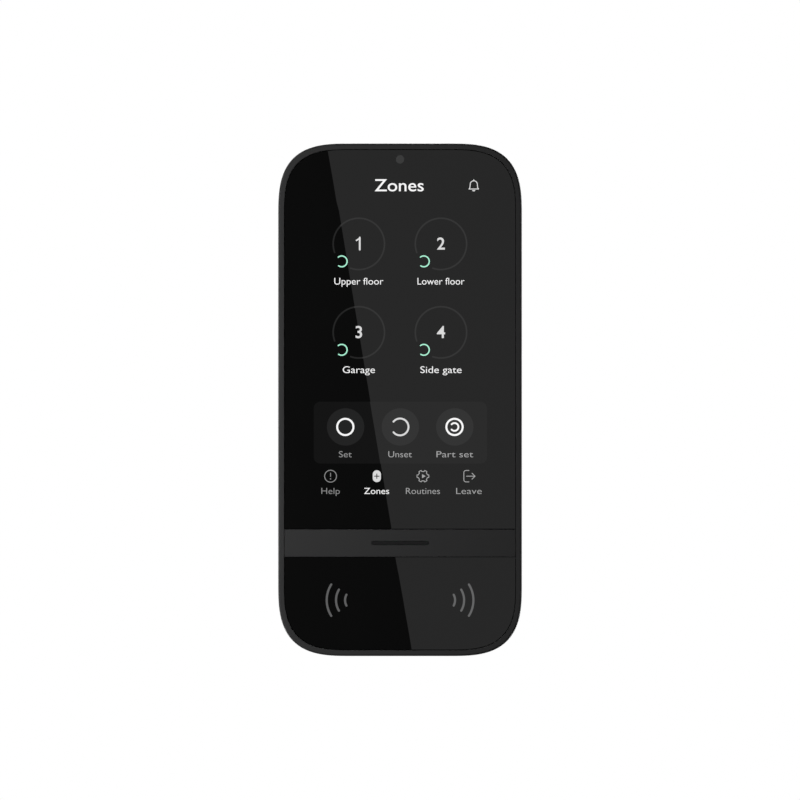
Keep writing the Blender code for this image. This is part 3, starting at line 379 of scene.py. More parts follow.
HALF_WIDTH = 0.0405
HALF_HEIGHT = 0.0852
CORNER = 0.0240
FRAME_BACK = 0.0212
FRAME_FRONT = 0.0240
POCKET_FLOOR = 0.0217
SHELF_FRONT = 0.02255
SEAT_INSET = 0.00195
SEAT_MARGIN = 0.0004
EDGE_RADIUS = 0.00078
GAP = 0.0003
OPEN_FRONT = 0.0260
OPEN_BACK = 0.0180
OVERLAP = 0.0003
DISPLAY_WELL = (-0.0331, 0.0331, -0.0378, 0.0781)
READER_WELL = (-0.0333, 0.0333, -0.0793, -0.0542)
INDICATOR_WELL = (-0.0345, 0.0345, -0.0516, -0.0436)
RIBBON_WAY = (0.0176, 0.0264)
RIBBON_LOW, RIBBON_BEND, RIBBON_HIGH = -0.0565, -0.0420, -0.0370
RIBBON_FLOOR, RIBBON_FRONT = 0.0205, 0.0230
SENSOR_HEIGHT = 0.0799
SENSOR_RADIUS = 0.0014
SENSOR_BACK = 0.0200
LIP_INSET = 0.0021
LIP_WALL = 0.0010
LIP_BACK = 0.0198
LIP_OPEN_BACK, LIP_OPEN_FRONT = 0.0190, 0.0230
LIP_OVERLAP = 0.0004
POST_RADIUS = 0.0028
POST_BACK = 0.0170
PILOT_RADIUS = 0.00115
PILOT_BACK, PILOT_END = 0.0160, 0.0220
POSTS = [(x, z) for x in (-0.0352, 0.0352) for z in (0.0600, 0.0120, -0.0360)]


def sheet_at(span, depth, corner=0.0, steps=8, profile=0.5):
    """A flat sheet facing forwards, from a plane whose corners are rounded by a vertex bevel."""
    left, right, low, high = span
    bpy.ops.object.select_all(action="DESELECT")
    bpy.ops.mesh.primitive_plane_add(size=1, location=((left + right) / 2, -depth, (low + high) / 2),
                                     rotation=(pi / 2, 0, 0))
    obj = bpy.context.object
    obj.scale = (right - left, high - low, 1)
    settled(obj)
    if corner:
        edit(obj)
        bpy.ops.mesh.bevel(affect="VERTICES", offset=corner, segments=steps, profile=profile)
        bpy.ops.mesh.remove_doubles(threshold=1e-7)
        only(obj)
    return obj


def thickened(obj, thickness):
    """Extrudes a flat sheet forwards into a plate, with every face outwards."""
    edit(obj)
    bpy.ops.mesh.extrude_region_move(TRANSFORM_OT_translate={"value": (0, -thickness, 0)})
    bpy.ops.mesh.select_all(action="SELECT")
    bpy.ops.mesh.normals_make_consistent(inside=False)
    only(obj)
    return obj


def plate(span, back, front, corner=0.0, steps=8, profile=0.5):
    """A plate that covers a span, from its back to its front."""
    return thickened(sheet_at(span, back, corner, steps, profile), front - back)


SUPERELLIPSE = 0.63


def outline_plate(inset, back, front, steps=32):
    """A plate with the keypad's outline, whose corners flow into the sides instead of starting at once."""
    wide, tall = HALF_WIDTH - inset, HALF_HEIGHT - inset
    return plate((-wide, wide, -tall, tall), back, front, CORNER - inset, steps, SUPERELLIPSE)


def rod(x, z, radius, back, front, sides=32):
    """A round bar that stands out from the wall."""
    bpy.ops.object.select_all(action="DESELECT")
    bpy.ops.mesh.primitive_cylinder_add(vertices=sides, radius=radius, depth=front - back,
                                        location=(x, -(back + front) / 2, z), rotation=(pi / 2, 0, 0))
    return settled(bpy.context.object)


def worked(obj, operation, *tools):
    """Cuts tools out of a piece or joins them on, one after another, and clears them away."""
    for tool in tools:
        only(obj)
        step = obj.modifiers.new("step", "BOOLEAN")
        step.operation = operation
        step.solver = "EXACT"
        step.object = tool
        bpy.ops.object.modifier_apply(modifier="step")
        bpy.data.objects.remove(tool)
    return obj


def pick(obj, kind, test):
    """Edit mode, with those points, edges or faces selected that pass a test."""
    edit(obj, "DESELECT")
    bpy.ops.mesh.select_mode(type=kind)
    bpy.ops.object.mode_set(mode="OBJECT")
    mesh = obj.data
    for one in {"VERT": mesh.vertices, "EDGE": mesh.edges, "FACE": mesh.polygons}[kind]:
        one.select = test(one)
    bpy.ops.object.mode_set(mode="EDIT")


def edge_rounded(obj, test, width, segments):
    """Rounds the edges both of whose ends pass a test on their place."""
    pick(obj, "EDGE", lambda edge: all(test(obj.data.vertices[end].co) for end in edge.vertices))
    bpy.ops.mesh.bevel(affect="EDGES", offset=width, segments=segments, profile=0.5)
    bpy.ops.mesh.select_mode(type="VERT")
    only(obj)


def at_depth(depth):
    """A test of whether a spot lies that deep."""
    return lambda spot: abs(spot.y + depth) < 1e-6


def inside(spot, inset):
    """Whether a spot lies within the keypad's outline drawn in by an inset."""
    across = max(abs(spot.x) - HALF_WIDTH + CORNER, 0) / (CORNER - inset)
    along = max(abs(spot.z) - HALF_HEIGHT + CORNER, 0) / (CORNER - inset)
    return across ** 3 + along ** 3 < 1


bezel = outline_plate(0, FRAME_BACK, FRAME_FRONT)
on_face = at_depth(FRAME_FRONT)
edge_rounded(bezel, on_face, EDGE_RADIUS, segments=6)
worked(bezel, "DIFFERENCE", outline_plate(SEAT_INSET, SHELF_FRONT, OPEN_FRONT))
inner_rim = lambda spot: on_face(spot) and inside(spot, SEAT_INSET - SEAT_MARGIN)
edge_rounded(bezel, inner_rim, 0.00010, segments=2)
lip = outline_plate(LIP_INSET, LIP_BACK, FRAME_BACK + LIP_OVERLAP, steps=10)
worked(lip, "DIFFERENCE", outline_plate(LIP_INSET + LIP_WALL, LIP_OPEN_BACK, LIP_OPEN_FRONT, steps=10))
worked(bezel, "UNION", lip)
worked(bezel, "UNION", *(rod(x, z, POST_RADIUS, POST_BACK, FRAME_BACK + OVERLAP, 24) for x, z in POSTS))
worked(
    bezel,
    "DIFFERENCE",
    plate(DISPLAY_WELL, OPEN_BACK, OPEN_FRONT, corner=0.0020, steps=4),
    plate(READER_WELL, POCKET_FLOOR, OPEN_FRONT, corner=0.0115, profile=SUPERELLIPSE),
    plate(INDICATOR_WELL, POCKET_FLOOR, OPEN_FRONT, corner=0.0010, steps=3),
    plate((*RIBBON_WAY, RIBBON_LOW, RIBBON_HIGH), POCKET_FLOOR, RIBBON_FRONT),
    plate((*RIBBON_WAY, RIBBON_BEND, RIBBON_HIGH), RIBBON_FLOOR, RIBBON_FRONT),
    rod(0, SENSOR_HEIGHT, SENSOR_RADIUS + GAP, SENSOR_BACK, OPEN_FRONT),
    *(rod(x, z, PILOT_RADIUS, PILOT_BACK, PILOT_END, 16) for x, z in POSTS),
)
smooth(bezel)
finished(bezel, "front_bezel", case_plastic, replaced=["front_frame"])

# Display module
# A five-inch liquid crystal panel clipped in its steel backlight tray. Its face is near black and shines
# only where it shows something.

black_screen, shader, place = new_finish("liquid_crystal", IOR=1.45, Specular_IOR_Level=0.1)
mura = place.noise(0.020, 2)
mura.between((0.0008, 0.0008, 0.0009), (0.0014, 0.0014, 0.0014)).feeds(shader, "Base Color")
(mura * 0.2 + 0.5).feeds(shader, "Roughness")
refinished(black_screen, "lcd_panel")
refinished(spring_steel, "backlight_tray")

# Display glass
# A 1.1 mm pane of hardened glass, inked black behind, with ground edges. It lies on a frame of black
# bonding tape on the shelf of the bezel, with 0.15 mm between glass and bezel all round.

GLASS_BACK = 0.0227
GLASS_FRONT = 0.0238
PANE_INSET = 0.0021
PANE_TOP = -0.04295
TAPE_BACK = 0.02256
TAPE_FRONT = 0.02269
TAPE_WIDE = 0.0012
TAPE_PAST_PANE = 0.00014
GLASS_IOR = 1.77

black_glass, shader, place = new_finish("glass_black", Roughness=0.0, IOR=GLASS_IOR)
ink = place.stretched(1, 1, 0.5).noise(0.018, 3)
ink.between((0.0017, 0.0017, 0.0017), (0.0023, 0.0024, 0.0023)).feeds(shader, "Base Color")
# One near-black finish for the tape and the panes' ground edges: real black bonding tape, and also painted
# shade that keeps the gap between glass and bezel dark.
black_foam_gap_shade, shader, place = new_finish("tape_black_gap_shade", IOR=1.45, Specular_IOR_Level=0.1)
foam = place.noise(0.0002, 3)
foam.between((0.0010, 0.0010, 0.0010), (0.0022, 0.0022, 0.0022)).feeds(shader, "Base Color")
(foam * 0.2 + 0.7).feeds(shader, "Roughness")
foam.relief(0.00002, 0.5).feeds(shader, "Normal")


def bisected(obj, height, keep_above):
    """Cuts a piece level at a height, keeps one side and closes the cut."""
    edit(obj)
    bpy.ops.mesh.bisect(plane_co=(0, 0, height), plane_no=(0, 0, 1), use_fill=True,
                        clear_inner=keep_above, clear_outer=not keep_above)
    only(obj)
    return obj


def pane(name, height, keep_above, node):
    """One pane: a plate with the outline of the seat, cut level, its ground edges in the near-black tape
    finish, which is painted shade for the gap beside them.
    """
    obj = bisected(outline_plate(PANE_INSET, GLASS_BACK, GLASS_FRONT), height, keep_above)
    soften(obj, 0.00008, angle=40)
    finished(obj, name, black_glass, replaced=[node])
    obj.data.materials.append(black_foam_gap_shade)
    for face in obj.data.polygons:
        face.material_index = 0 if abs(face.normal.y) > 0.99 else 1


def tape(name, height, keep_above):
    """A frame of bonding tape under a pane's edge, which also closes the gap beside it to light; its
    near-black colour is painted shade that keeps that gap dark.
    """
    up = 1 if keep_above else -1
    strip = bisected(outline_plate(SEAT_INSET + 0.00001, TAPE_BACK, TAPE_FRONT), height, keep_above)
    hole = bisected(outline_plate(SEAT_INSET + TAPE_WIDE, TAPE_BACK - 0.001, TAPE_FRONT + 0.001),
                    height + up * TAPE_WIDE, keep_above)
    worked(strip, "DIFFERENCE", hole)
    finished(strip, name, black_foam_gap_shade)


pane("display_pane", PANE_TOP, True, "display_glass")
tape("display_tape", PANE_TOP - TAPE_PAST_PANE, True)

# Screen picture
# What the display shows through its glass: four zones, the three modes and the menu below them. Each
# symbol is a skin of light a few hundredths of a millimetre thick in the face of the glass, and shines as
# the glass does.

SKIN_ROOT = GLASS_FRONT - 0.00001
FLOOR_LAYER = GLASS_FRONT + 0.00001
DISC_LAYER = GLASS_FRONT + 0.00002
SYMBOL_LAYER = GLASS_FRONT + 0.00003
MARK_LAYER = GLASS_FRONT + 0.00004
ROUND_END = 0.998
END_SPIN = 0.56


def lit(name, shade):
    """Light of one colour from a grid of tiny cells, so that it is a little uneven from cell to cell."""
    material, shader, place = new_finish(name, Base_Color=(0.0, 0.0, 0.0, 1), Roughness=0.0, IOR=GLASS_IOR,
                                         Emission_Strength=1.0)
    cell = place.noise(0.00035, 2)
    low = tuple(0.94 * value for value in shade)
    high = tuple(min(1.06 * value, 1.0) for value in shade)
    cell.between(low, high).feeds(shader, "Emission Color")
    return material


def strokes(x, z, width, *ends, depth=SYMBOL_LAYER):
    """Flat bars with round ends, whose ends are counted from the middle of their symbol."""
    bars = []
    for x0, z0, x1, z1 in ends:
        reach = ((x1 - x0) ** 2 + (z1 - z0) ** 2) ** 0.5 / 2 + width / 2
        bar = sheet_at((-reach, reach, -width / 2, width / 2), 0, width / 2 * ROUND_END, 5)
        bar.rotation_euler.y = -atan2(z1 - z0, x1 - x0)
        bar.location = (x + (x0 + x1) / 2, -depth, z + (z0 + z1) / 2)
        bars.append(settled(bar))
    return bars


def arc(x, z, radius, width, start, sweep, steps=24, blunt=False):
    """An arc: one edge of a plane is kept and spun, in three spins when its ends are to be rounded."""
    bpy.ops.object.select_all(action="DESELECT")
    bpy.ops.mesh.primitive_plane_add(size=width, location=(radius, 0, 0), rotation=(pi / 2, 0, 0))
    obj = settled(bpy.context.object)
    pick(obj, "VERT", lambda point: point.co.z > 0)
    bpy.ops.mesh.delete(type="VERT")
    bpy.ops.mesh.select_all(action="SELECT")
    bpy.ops.transform.translate(value=(0, 0, width / 2))
    end = 0.0 if blunt else END_SPIN * width / radius
    for part, count in ((end, 1), (sweep - 2 * end, steps), (end, 1)):
        if part:
            bpy.ops.mesh.spin(steps=count, angle=part, center=(0, 0, 0), axis=(0, 1, 0))
    if not blunt:
        def at_an_end(point):
            angle = atan2(point.co.z, point.co.x) % tau
            return min(abs(angle), abs(angle - tau), abs(angle - sweep % tau)) < 1e-4

        pick(obj, "VERT", at_an_end)
        bpy.ops.mesh.bevel(affect="VERTICES", offset=width / 2 * ROUND_END, segments=5, profile=0.5)
        bpy.ops.mesh.remove_doubles(threshold=1e-7)
    only(obj)
    obj.rotation_euler.y = -start
    obj.location = (x, -SYMBOL_LAYER, z)
    return settled(obj)


def disc(x, z, radius, depth=SYMBOL_LAYER, sides=96):
    """A flat round sheet that faces forwards."""
    bpy.ops.object.select_all(action="DESELECT")
    bpy.ops.mesh.primitive_circle_add(vertices=sides, radius=radius, fill_type="NGON",
                                      location=(x, -depth, z), rotation=(pi / 2, 0, 0))
    return settled(bpy.context.object)


def hollowed(obj, width):
    """Insets a flat sheet by the width of a stroke and takes its middle out."""
    edit(obj)
    bpy.ops.mesh.inset(thickness=width)
    bpy.ops.mesh.delete(type="FACE")
    only(obj)
    return obj


def skin(name, sheets, material):
    """Joins flat sheets into one symbol and gives it a thickness that takes root in the glass."""
    only(sheets[0])
    for sheet in sheets[1:]:
        sheet.select_set(True)
    if len(sheets) > 1:
        bpy.ops.object.join()
    obj = bpy.context.object
    pick(obj, "FACE", lambda face: face.normal.y > 0)
    bpy.ops.mesh.flip_normals()
    bpy.ops.mesh.select_mode(type="VERT")
    only(obj)
    thick = obj.modifiers.new("thick", "SOLIDIFY")
    thick.thickness = -obj.data.vertices[0].co.y - SKIN_ROOT
    thick.offset = -1
    bpy.ops.object.modifier_apply(modifier="thick")
    return finished(obj, name, material)


CAPITAL = 0.682


def word(text, middle, low, tall, wide, bold):
    """A word in the built-in face, made a mesh and then brought to its height, width and place."""
    bpy.ops.object.select_all(action="DESELECT")
    bpy.ops.object.text_add(rotation=(pi / 2, 0, 0))
    obj = bpy.context.object
    obj.data.body = text
    obj.data.offset = bold
    obj.data.resolution_u = 6
    bpy.ops.object.convert(target="MESH")
    obj = settled(bpy.context.object)
    left, right = (limit(point.co.x for point in obj.data.vertices) for limit in (min, max))
    scale = tall / (CAPITAL + 2 * bold)
    stretch = scale if wide is None else wide / (right - left)
    obj.scale = (stretch, 1, scale)
    obj.location = (middle - stretch * (left + right) / 2, -SYMBOL_LAYER, low + scale * bold)
    return settled(obj)


def cogwheel(x, z, radius, width, teeth=6, root=0.80):
    """The outline of a cogwheel: a disc whose teeth are drawn out, and its middle taken out."""
    obj = disc(x, z, radius * root, sides=teeth * 12)
    pick(obj, "VERT", lambda point: cos(atan2(point.co.z - z, point.co.x - x) * teeth) > -0.1)
    bpy.ops.transform.resize(value=(1 / root, 1, 1 / root), center_override=(x, -SYMBOL_LAYER, z))
    return hollowed(obj, width)


def triangle(x, z, radius):
    """A triangle with rounded corners that points to the right."""
    bpy.ops.object.select_all(action="DESELECT")
    bpy.ops.mesh.primitive_circle_add(vertices=3, radius=radius, fill_type="NGON", rotation=(pi / 2, 0, 0))
    obj = bpy.context.object
    edit(obj)
    bpy.ops.mesh.bevel(affect="VERTICES", offset=radius * 0.12, segments=3)
    settled(obj)
    obj.rotation_euler.y = pi / 2
    obj.location = (x, -SYMBOL_LAYER, z)
    return settled(obj)


white_light = lit("lit_white", (1.0, 1.0, 1.0))
soft_light = lit("lit_soft_white", (0.70, 0.70, 0.70))
pale_grey_light = lit("lit_pale_grey", (0.37, 0.37, 0.37))
grey_light = lit("lit_grey", (0.27, 0.27, 0.27))
ring_light = lit("lit_ring", (0.0170, 0.0170, 0.0170))
tray_light = lit("lit_tray", (0.0053, 0.0053, 0.0053))
disc_light = lit("lit_disc", (0.0150, 0.0152, 0.0152))
green_light = lit("lit_green", (0.42, 0.92, 0.68))

title = word("Zones", middle=-0.00030, low=0.0693, tall=0.0040, wide=0.0163, bold=0.004)
skin("screen_title", [title], white_light)

BELL_X, BELL_Z = 0.0245, 0.0713
BELL_STROKE, FLARE_STROKE, CLAPPER_STROKE = 0.00029, 0.00028, 0.00040
DOME, DOME_Z = 0.00118, 0.0003
WAIST, WAIST_Z = 0.00130, -0.0008
FLARE, FLARE_Z, RIM_Z = 0.00157, -0.0012, -0.00125
skin(
    "screen_bell",
    [
        arc(BELL_X, BELL_Z + DOME_Z, DOME, BELL_STROKE, 0, pi, 16),
        *strokes(
            BELL_X, BELL_Z, BELL_STROKE,
            (-DOME, DOME_Z, -WAIST, WAIST_Z),
            (DOME, DOME_Z, WAIST, WAIST_Z),
        ),
        *strokes(
            BELL_X, BELL_Z, FLARE_STROKE,
            (-WAIST, WAIST_Z, -FLARE, FLARE_Z),
            (WAIST, WAIST_Z, FLARE, FLARE_Z),
        ),
        *strokes(BELL_X, BELL_Z, BELL_STROKE, (-FLARE, RIM_Z, FLARE, RIM_Z), (0, 0.0015, 0, 0.0018)),
        arc(BELL_X, BELL_Z - 0.0014, 0.00045, CLAPPER_STROKE, pi * 1.15, pi * 0.7, 6),
    ],
    soft_light,
)

RING_RADIUS, RING_STROKE = 0.00853, 0.00052
NUMBER_LOW, NUMBER_TALL = -0.0019, 0.0040
STEM_X, STEM_STROKE, FLAG_STROKE = 0.0003, 0.00058, 0.00048
STATE_X, STATE_Z = -0.0057, -0.0058
STATE_RADIUS, STATE_STROKE = 0.00180, 0.00041
NAME_LOW, NAME_TALL = -0.0135, 0.0022
ZONES = [
    ("1", -0.0137, 0.0518, "Upper floor", 0.0163),
    ("2", 0.0136, 0.0518, "Lower floor", 0.0156),
    ("3", -0.0137, 0.0224, "Garage", 0.0107),
    ("4", 0.0136, 0.0224, "Side gate", 0.0137),
]
for number, x, z, name, wide in ZONES:
    open_ring = arc(x, z, RING_RADIUS, RING_STROKE, radians(250), radians(311), 90, blunt=True)
    skin(f"zone_ring_{number}", [open_ring], ring_light)
    if number == "1":
        figure = strokes(x, z, STEM_STROKE, (STEM_X, NUMBER_LOW, STEM_X, 0.0021))
        figure += strokes(x, z, FLAG_STROKE, (STEM_X, 0.00186, -0.0008, 0.00115))
    else:
        figure = [word(number, x, z + NUMBER_LOW, NUMBER_TALL, wide=None, bold=0.012)]
    skin(f"zone_number_{number}", figure, soft_light)
    state = arc(x + STATE_X, z + STATE_Z, STATE_RADIUS, STATE_STROKE, radians(-131), radians(266), 30)
    skin(f"zone_state_{number}", [state], green_light)
    skin(f"zone_name_{number}", [word(name, x, z + NAME_LOW, NAME_TALL, wide, bold=-0.004)], white_light)

TRAY_SPAN = (-0.0287, 0.0289, -0.0212, -0.00065)
skin("mode_tray", [sheet_at(TRAY_SPAN, FLOOR_LAYER, corner=0.0022, steps=10)], tray_light)
MODE_Z = -0.00903
MODE_DISC_RADIUS = 0.0062
MODE_RADIUS, MODE_STROKE = 0.00302, 0.00063
for mode, x in (("set", -0.0181), ("unset", 0.0001), ("part", 0.0182)):
    skin(f"mode_disc_{mode}", [disc(x, MODE_Z, MODE_DISC_RADIUS, DISC_LAYER)], disc_light)
set_ring = hollowed(disc(-0.0182, MODE_Z, MODE_RADIUS), MODE_STROKE)
skin("mode_symbol_set", [set_ring], white_light)
unset_arc = arc(0, MODE_Z, 0.0028, 0.00060, radians(-147), radians(294), 40)
skin("mode_symbol_unset", [unset_arc], soft_light)
PART_X = 0.0181
part_ring = hollowed(disc(PART_X, MODE_Z, MODE_RADIUS), MODE_STROKE)
part_arc = arc(PART_X, MODE_Z, 0.00130, 0.00056, radians(-150), radians(300))
skin("mode_symbol_part", [part_ring, part_arc], white_light)
SMALL_TALL = 0.0020
MODE_WORD_LOW = -0.0191
for mode, name, middle, wide, light in (
    ("set", "Set", -0.0182, 0.0043, grey_light),
    ("unset", "Unset", 0.0, 0.0078, pale_grey_light),
    ("part", "Part set", 0.0182, 0.0122, pale_grey_light),
):
    skin(f"mode_word_{mode}", [word(name, middle, MODE_WORD_LOW, SMALL_TALL, wide, bold=-0.004)], light)

MENU_Z = -0.0254
MENU_RADIUS = 0.0021
HELP_X, HELP_STROKE = -0.0231, 0.00026
skin(
    "menu_symbol_help",
    [
        hollowed(disc(HELP_X, MENU_Z, MENU_RADIUS), HELP_STROKE),
        *strokes(HELP_X, MENU_Z, HELP_STROKE, (0, 0.0010, 0, -0.0001)),
        disc(HELP_X, MENU_Z - 0.0009, 0.00020, sides=20),
    ],
    grey_light,
)
PILL_X = -0.00772
PILL_WIDE, PILL_TALL, PILL_CORNER = 0.00136, 0.00196, 0.00132
PLUS_HALF, PLUS_STROKE = 0.00075, 0.00030
pill_span = (PILL_X - PILL_WIDE, PILL_X + PILL_WIDE, MENU_Z - PILL_TALL, MENU_Z + PILL_TALL)
skin("menu_symbol_zones", [sheet_at(pill_span, SYMBOL_LAYER, PILL_CORNER, steps=10)], soft_light)
plus = ((-PLUS_HALF, 0, PLUS_HALF, 0), (0, -PLUS_HALF, 0, PLUS_HALF))
skin("menu_mark_zones", strokes(PILL_X, MENU_Z, PLUS_STROKE, *plus, depth=MARK_LAYER), tray_light)
THIN_STROKE = 0.00025
cog = [cogwheel(0.0076, MENU_Z, MENU_RADIUS, THIN_STROKE), triangle(0.0077, MENU_Z, 0.00080)]
skin("menu_symbol_timers", cog, pale_grey_light)
DOOR_X = 0.0212
DOOR_HALF, DOOR_CORNER, DOOR_TOP = 0.0012, 0.0007, 0.0019
JAMB_X = 0.0017
TAIL_X, HEAD_X, TIP_X, HEAD_HALF = 0.0009, 0.0027, 0.0037, 0.0010
skin(
    "menu_symbol_leave",
    [
        *strokes(DOOR_X, MENU_Z, THIN_STROKE, (0, -DOOR_HALF, 0, DOOR_HALF)),
        arc(DOOR_X + DOOR_CORNER, MENU_Z + DOOR_HALF, DOOR_CORNER, THIN_STROKE, pi / 2, pi / 2, 6, True),
        arc(DOOR_X + DOOR_CORNER, MENU_Z - DOOR_HALF, DOOR_CORNER, THIN_STROKE, pi, pi / 2, 6, True),
        *strokes(
            DOOR_X, MENU_Z, THIN_STROKE,
            (DOOR_CORNER, DOOR_TOP, JAMB_X, DOOR_TOP),
            (DOOR_CORNER, -DOOR_TOP, JAMB_X, -DOOR_TOP),
            (TAIL_X, 0, TIP_X, 0),
            (HEAD_X, HEAD_HALF, TIP_X, 0),
            (HEAD_X, -HEAD_HALF, TIP_X, 0),
        ),
    ],
    pale_grey_light,
)
MENU_WORD_LOW = -0.0313
for name, middle, wide, bold, light in (
    ("Help", -0.0231, 0.0061, -0.008, grey_light),
    ("Zones", -0.0078, 0.0083, -0.002, white_light),
    ("Routines", 0.0076, 0.0113, -0.008, pale_grey_light),
    ("Leave", 0.0229, 0.0085, -0.008, pale_grey_light),
):
    skin(f"menu_word_{name.lower()}", [word(name, middle, MENU_WORD_LOW, SMALL_TALL, wide, bold)], light)

# Light sensor
# A small round window in the ink at the top of the glass, smoky grey, and behind it an acrylic light pipe
# with a soft dome that leads the room's light to the sensor.

smoky_window, shader, place = new_finish("lens_smoky", Roughness=0.05, IOR=GLASS_IOR)
haze = place.noise(0.0006, 3)
haze.between((0.036, 0.0365, 0.0362), (0.046, 0.0465, 0.0462)).feeds(shader, "Base Color")
skin("sensor_window", [disc(0, SENSOR_HEIGHT, SENSOR_RADIUS, sides=48)], smoky_window)
LENS_BACK = 0.0209
LENS_DOME = 0.00035
lens = rod(0, SENSOR_HEIGHT, SENSOR_RADIUS, LENS_BACK, SHELF_FRONT, 48)
edge_rounded(lens, at_depth(SHELF_FRONT), LENS_DOME, segments=5)
smooth(lens)
finished(lens, "sensor_lens", smoky_window, replaced=["light_sensor_lens"])

# Reader
# The tag reader's coil board on its grey ferrite sheet, behind a second pane that is inked black all over.
# Faint waves mark its face where a card is held: a grey print, whose lit brightness is painted in as a glow.

ferrite, shader, place = new_finish("ferrite", IOR=1.5)
TILE_SIZE = 0.0012
tile = place.node("TexVoronoi", {}, {"Vector": place, "Scale": 1 / TILE_SIZE}, "Distance")
speck = place.noise(0.0003, 3)
(tile * 0.5 + speck * 0.5).between((0.030, 0.029, 0.031), (0.070, 0.068, 0.070)).feeds(shader, "Base Color")
(speck * 0.2 + 0.55).feeds(shader, "Roughness")
tile.relief(0.00003, 0.4).feeds(shader, "Normal")
refinished(ferrite, "ferrite_sheet")

PANE_BOTTOM = -0.05225
pane("reader_pane", PANE_BOTTOM, False, "reader_glass")
tape("reader_tape", PANE_BOTTOM + TAPE_PAST_PANE, False)
# The printed waves get a glow in place of light: painted light, as bright as the grey print looks under the
# room's light.
printed_wave_painted_glow = lit("wave_print_painted_glow", (0.112, 0.112, 0.113))
WAVE_HEIGHT = -0.0666
WAVE_STROKE = 0.00070
WAVE_INSET = 0.00042
WAVES = [(0.0248, 0.0055, 0.0017), (0.0217, 0.0038, 0.00115), (0.0187, 0.0021, 0.00065)]
for side, turn in (("left", pi), ("right", 0)):
    bows = []
    for edge, half_height, bulge in WAVES:
        radius = (half_height ** 2 + bulge ** 2) / (2 * bulge)
        half_turn = atan2(half_height, radius - bulge)
        middle = cos(turn) * (edge - WAVE_INSET - radius)
        bows.append(arc(middle, WAVE_HEIGHT, radius, WAVE_STROKE, turn - half_turn, 2 * half_turn, 20))
    skin(f"reader_wave_{side}", bows, printed_wave_painted_glow)

# Centre bar
# A matt moulded bar between the panes, a tenth of a millimetre proud of them. A thin slot in its middle
# takes the clear guide of the status light.

BAR_LOW, BAR_HIGH = -0.0522, -0.0431
BAR_HALF = HALF_WIDTH - PANE_INSET
BAR_FRONT = 0.0239
SLOT_HEIGHT = -0.0476
SLOT_HALF, SLOT_RADIUS = 0.0096, 0.0007
SLOT_BACK, SLOT_OPEN = 0.0220, 0.0250
SLOT_ROUND = 0.999
bar_plastic = grained_plastic("strip_grey", (0.031, 0.031, 0.0312), (0.037, 0.037, 0.0373), 0.50,
                              grain=0.00018)
bar = plate((-BAR_HALF, BAR_HALF, BAR_LOW, BAR_HIGH), GLASS_BACK, BAR_FRONT)
edge_rounded(bar, at_depth(BAR_FRONT), 0.00012, segments=3)
slot_span = (-SLOT_HALF, SLOT_HALF, SLOT_HEIGHT - SLOT_RADIUS, SLOT_HEIGHT + SLOT_RADIUS)
worked(bar, "DIFFERENCE", plate(slot_span, SLOT_BACK, SLOT_OPEN, SLOT_RADIUS * SLOT_ROUND))
smooth(bar)
finished(bar, "centre_bar", bar_plastic, replaced=["center_strip"])

GUIDE_HALF, GUIDE_RADIUS = 0.0095, 0.0006
guide_acrylic, shader, place = new_finish("guide_smoky", IOR=1.49)
frost = place.noise(0.0004, 3)
frost.between((0.010, 0.010, 0.0102), (0.016, 0.016, 0.0163)).feeds(shader, "Base Color")
(frost * 0.1 + 0.30).feeds(shader, "Roughness")
guide_span = (-GUIDE_HALF, GUIDE_HALF, SLOT_HEIGHT - GUIDE_RADIUS, SLOT_HEIGHT + GUIDE_RADIUS)
guide = plate(guide_span, GLASS_BACK, GLASS_FRONT, GUIDE_RADIUS * SLOT_ROUND)
edge_rounded(guide, at_depth(GLASS_FRONT), 0.00010, segments=2)
smooth(guide)
finished(guide, "light_guide", guide_acrylic, replaced=["status_light_guide"])
led_body, shader, place = new_finish("led_body", IOR=1.5)
phosphor = place.noise(0.0003, 2)
phosphor.between((0.62, 0.60, 0.45), (0.78, 0.76, 0.66)).feeds(shader, "Base Color")
(phosphor * 0.2 + 0.35).feeds(shader, "Roughness")
refinished(led_body, "status_led")

# Studio
# A pale floor a metre and a half below the keypad, white walls for the camera, a soft light at the left
# with faint fills behind and below, and a dim card in front, whose straight edge shows in the glass.

bpy.context.scene.view_settings.view_transform = "Standard"
world = bpy.data.worlds.new("studio")
bpy.context.scene.world = world
world.use_nodes = True
world.cycles.sampling_method = "NONE"
world.node_tree.nodes.clear()
air = Wire(world.node_tree)
ray = air.node("LightPath", {}, {}, "Is Camera Ray")
matt = air.node("LightPath", {}, {}, "Is Diffuse Ray")
AMBIENT, GLOSS = 0.037, 0.0265
level = ray + (1 - ray) * (matt * AMBIENT + (1 - matt) * GLOSS)
surface = air.node("Background", {}, {"Color": (1, 1, 1, 1), "Strength": level})
output = world.node_tree.nodes.new("ShaderNodeOutputWorld")
world.node_tree.links.new(surface.socket, output.inputs["Surface"])

bpy.ops.object.select_all(action="DESELECT")
FLOOR_HEIGHT = -1.5
bpy.ops.mesh.primitive_cylinder_add(vertices=128, radius=2.5, depth=0.01, location=(0, 0, FLOOR_HEIGHT))
floor = bpy.context.object
floor.name = "floor"
pale, shader, place = new_finish("floor_pale", Roughness=0.8, Emission_Color=(1, 1, 1, 1),
                                 Emission_Strength=0.75)
place.noise(0.05, 3).between((0.80, 0.80, 0.80), (0.84, 0.84, 0.84)).feeds(shader, "Base Color")
floor.data.materials.append(pale)
floor.visible_diffuse = False
floor.visible_glossy = False


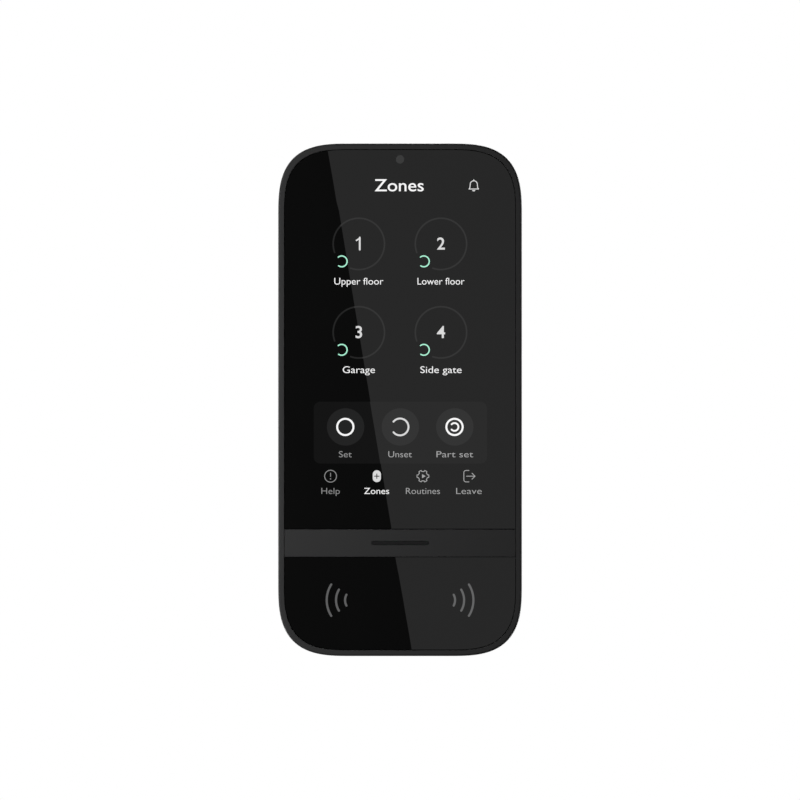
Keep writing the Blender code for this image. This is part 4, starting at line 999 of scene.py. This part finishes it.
def soft_light_panel(name, place_at, aim, wide, tall, power):
    """A flat soft light that the camera doesn't see."""
    bpy.ops.object.select_all(action="DESELECT")
    bpy.ops.object.light_add(type="AREA", location=place_at)
    light = bpy.context.object
    light.name = name
    light.data.shape = "RECTANGLE"
    light.data.size, light.data.size_y = wide, tall
    light.data.energy = power
    toward = Vector(aim) - Vector(place_at)
    light.rotation_euler = toward.to_track_quat("-Z", "Y").to_euler()
    light.visible_camera = False
    return light


key = soft_light_panel("key", (-0.19, -0.194, 0), aim=(0, -FRAME_FRONT, 0), wide=0.07, tall=0.14, power=0.71)
key.visible_glossy = False
soft_light_panel("back_fill", (0.10, 0.60, 0.35), aim=(0, 0, 0), wide=0.50, tall=0.50, power=6.0)
soft_light_panel("side_fill", (0.70, 0.30, 0.10), aim=(0, 0, 0), wide=0.20, tall=0.60, power=2.0)
for name, x in (("low_fill_left", -0.30), ("low_fill_right", 0.30)):
    low_fill = soft_light_panel(name, (x, 0.20, -0.21), aim=(0, 0, -0.06), wide=0.20, tall=0.06, power=0.08)
    low_fill.data.spread = radians(70)

CAMERA_AWAY = 1.60
VIEW_HEIGHT = 0.26585
VIEW_X, VIEW_Z = -0.00002, -0.00008
SENSOR = 36.0
bpy.ops.object.camera_add(location=(VIEW_X, -FRAME_FRONT - CAMERA_AWAY, VIEW_Z), rotation=(pi / 2, 0, 0))
camera = bpy.context.object
camera.data.sensor_width = SENSOR
camera.data.lens = SENSOR * CAMERA_AWAY / VIEW_HEIGHT
camera.data.clip_start, camera.data.clip_end = 0.05, 20.0
bpy.context.scene.camera = camera

CARD_AWAY = CAMERA_AWAY * 1.05
CARD_LEAN = radians(-9.53)
CARD_EDGE = -0.0101
CARD_WIDE, CARD_TALL = 0.40, 1.00
CARD_POWER = 0.287
card = soft_light_panel("card", (0, -FRAME_FRONT - CARD_AWAY, 0), (0, 0, 0), CARD_WIDE, CARD_TALL, CARD_POWER)
card.rotation_euler = (pi / 2, CARD_LEAN, 0)
card.location.x = CARD_EDGE * (1 + CARD_AWAY / CAMERA_AWAY) + CARD_WIDE / 2 * cos(CARD_LEAN)
card.location.z = -CARD_WIDE / 2 * sin(CARD_LEAN)
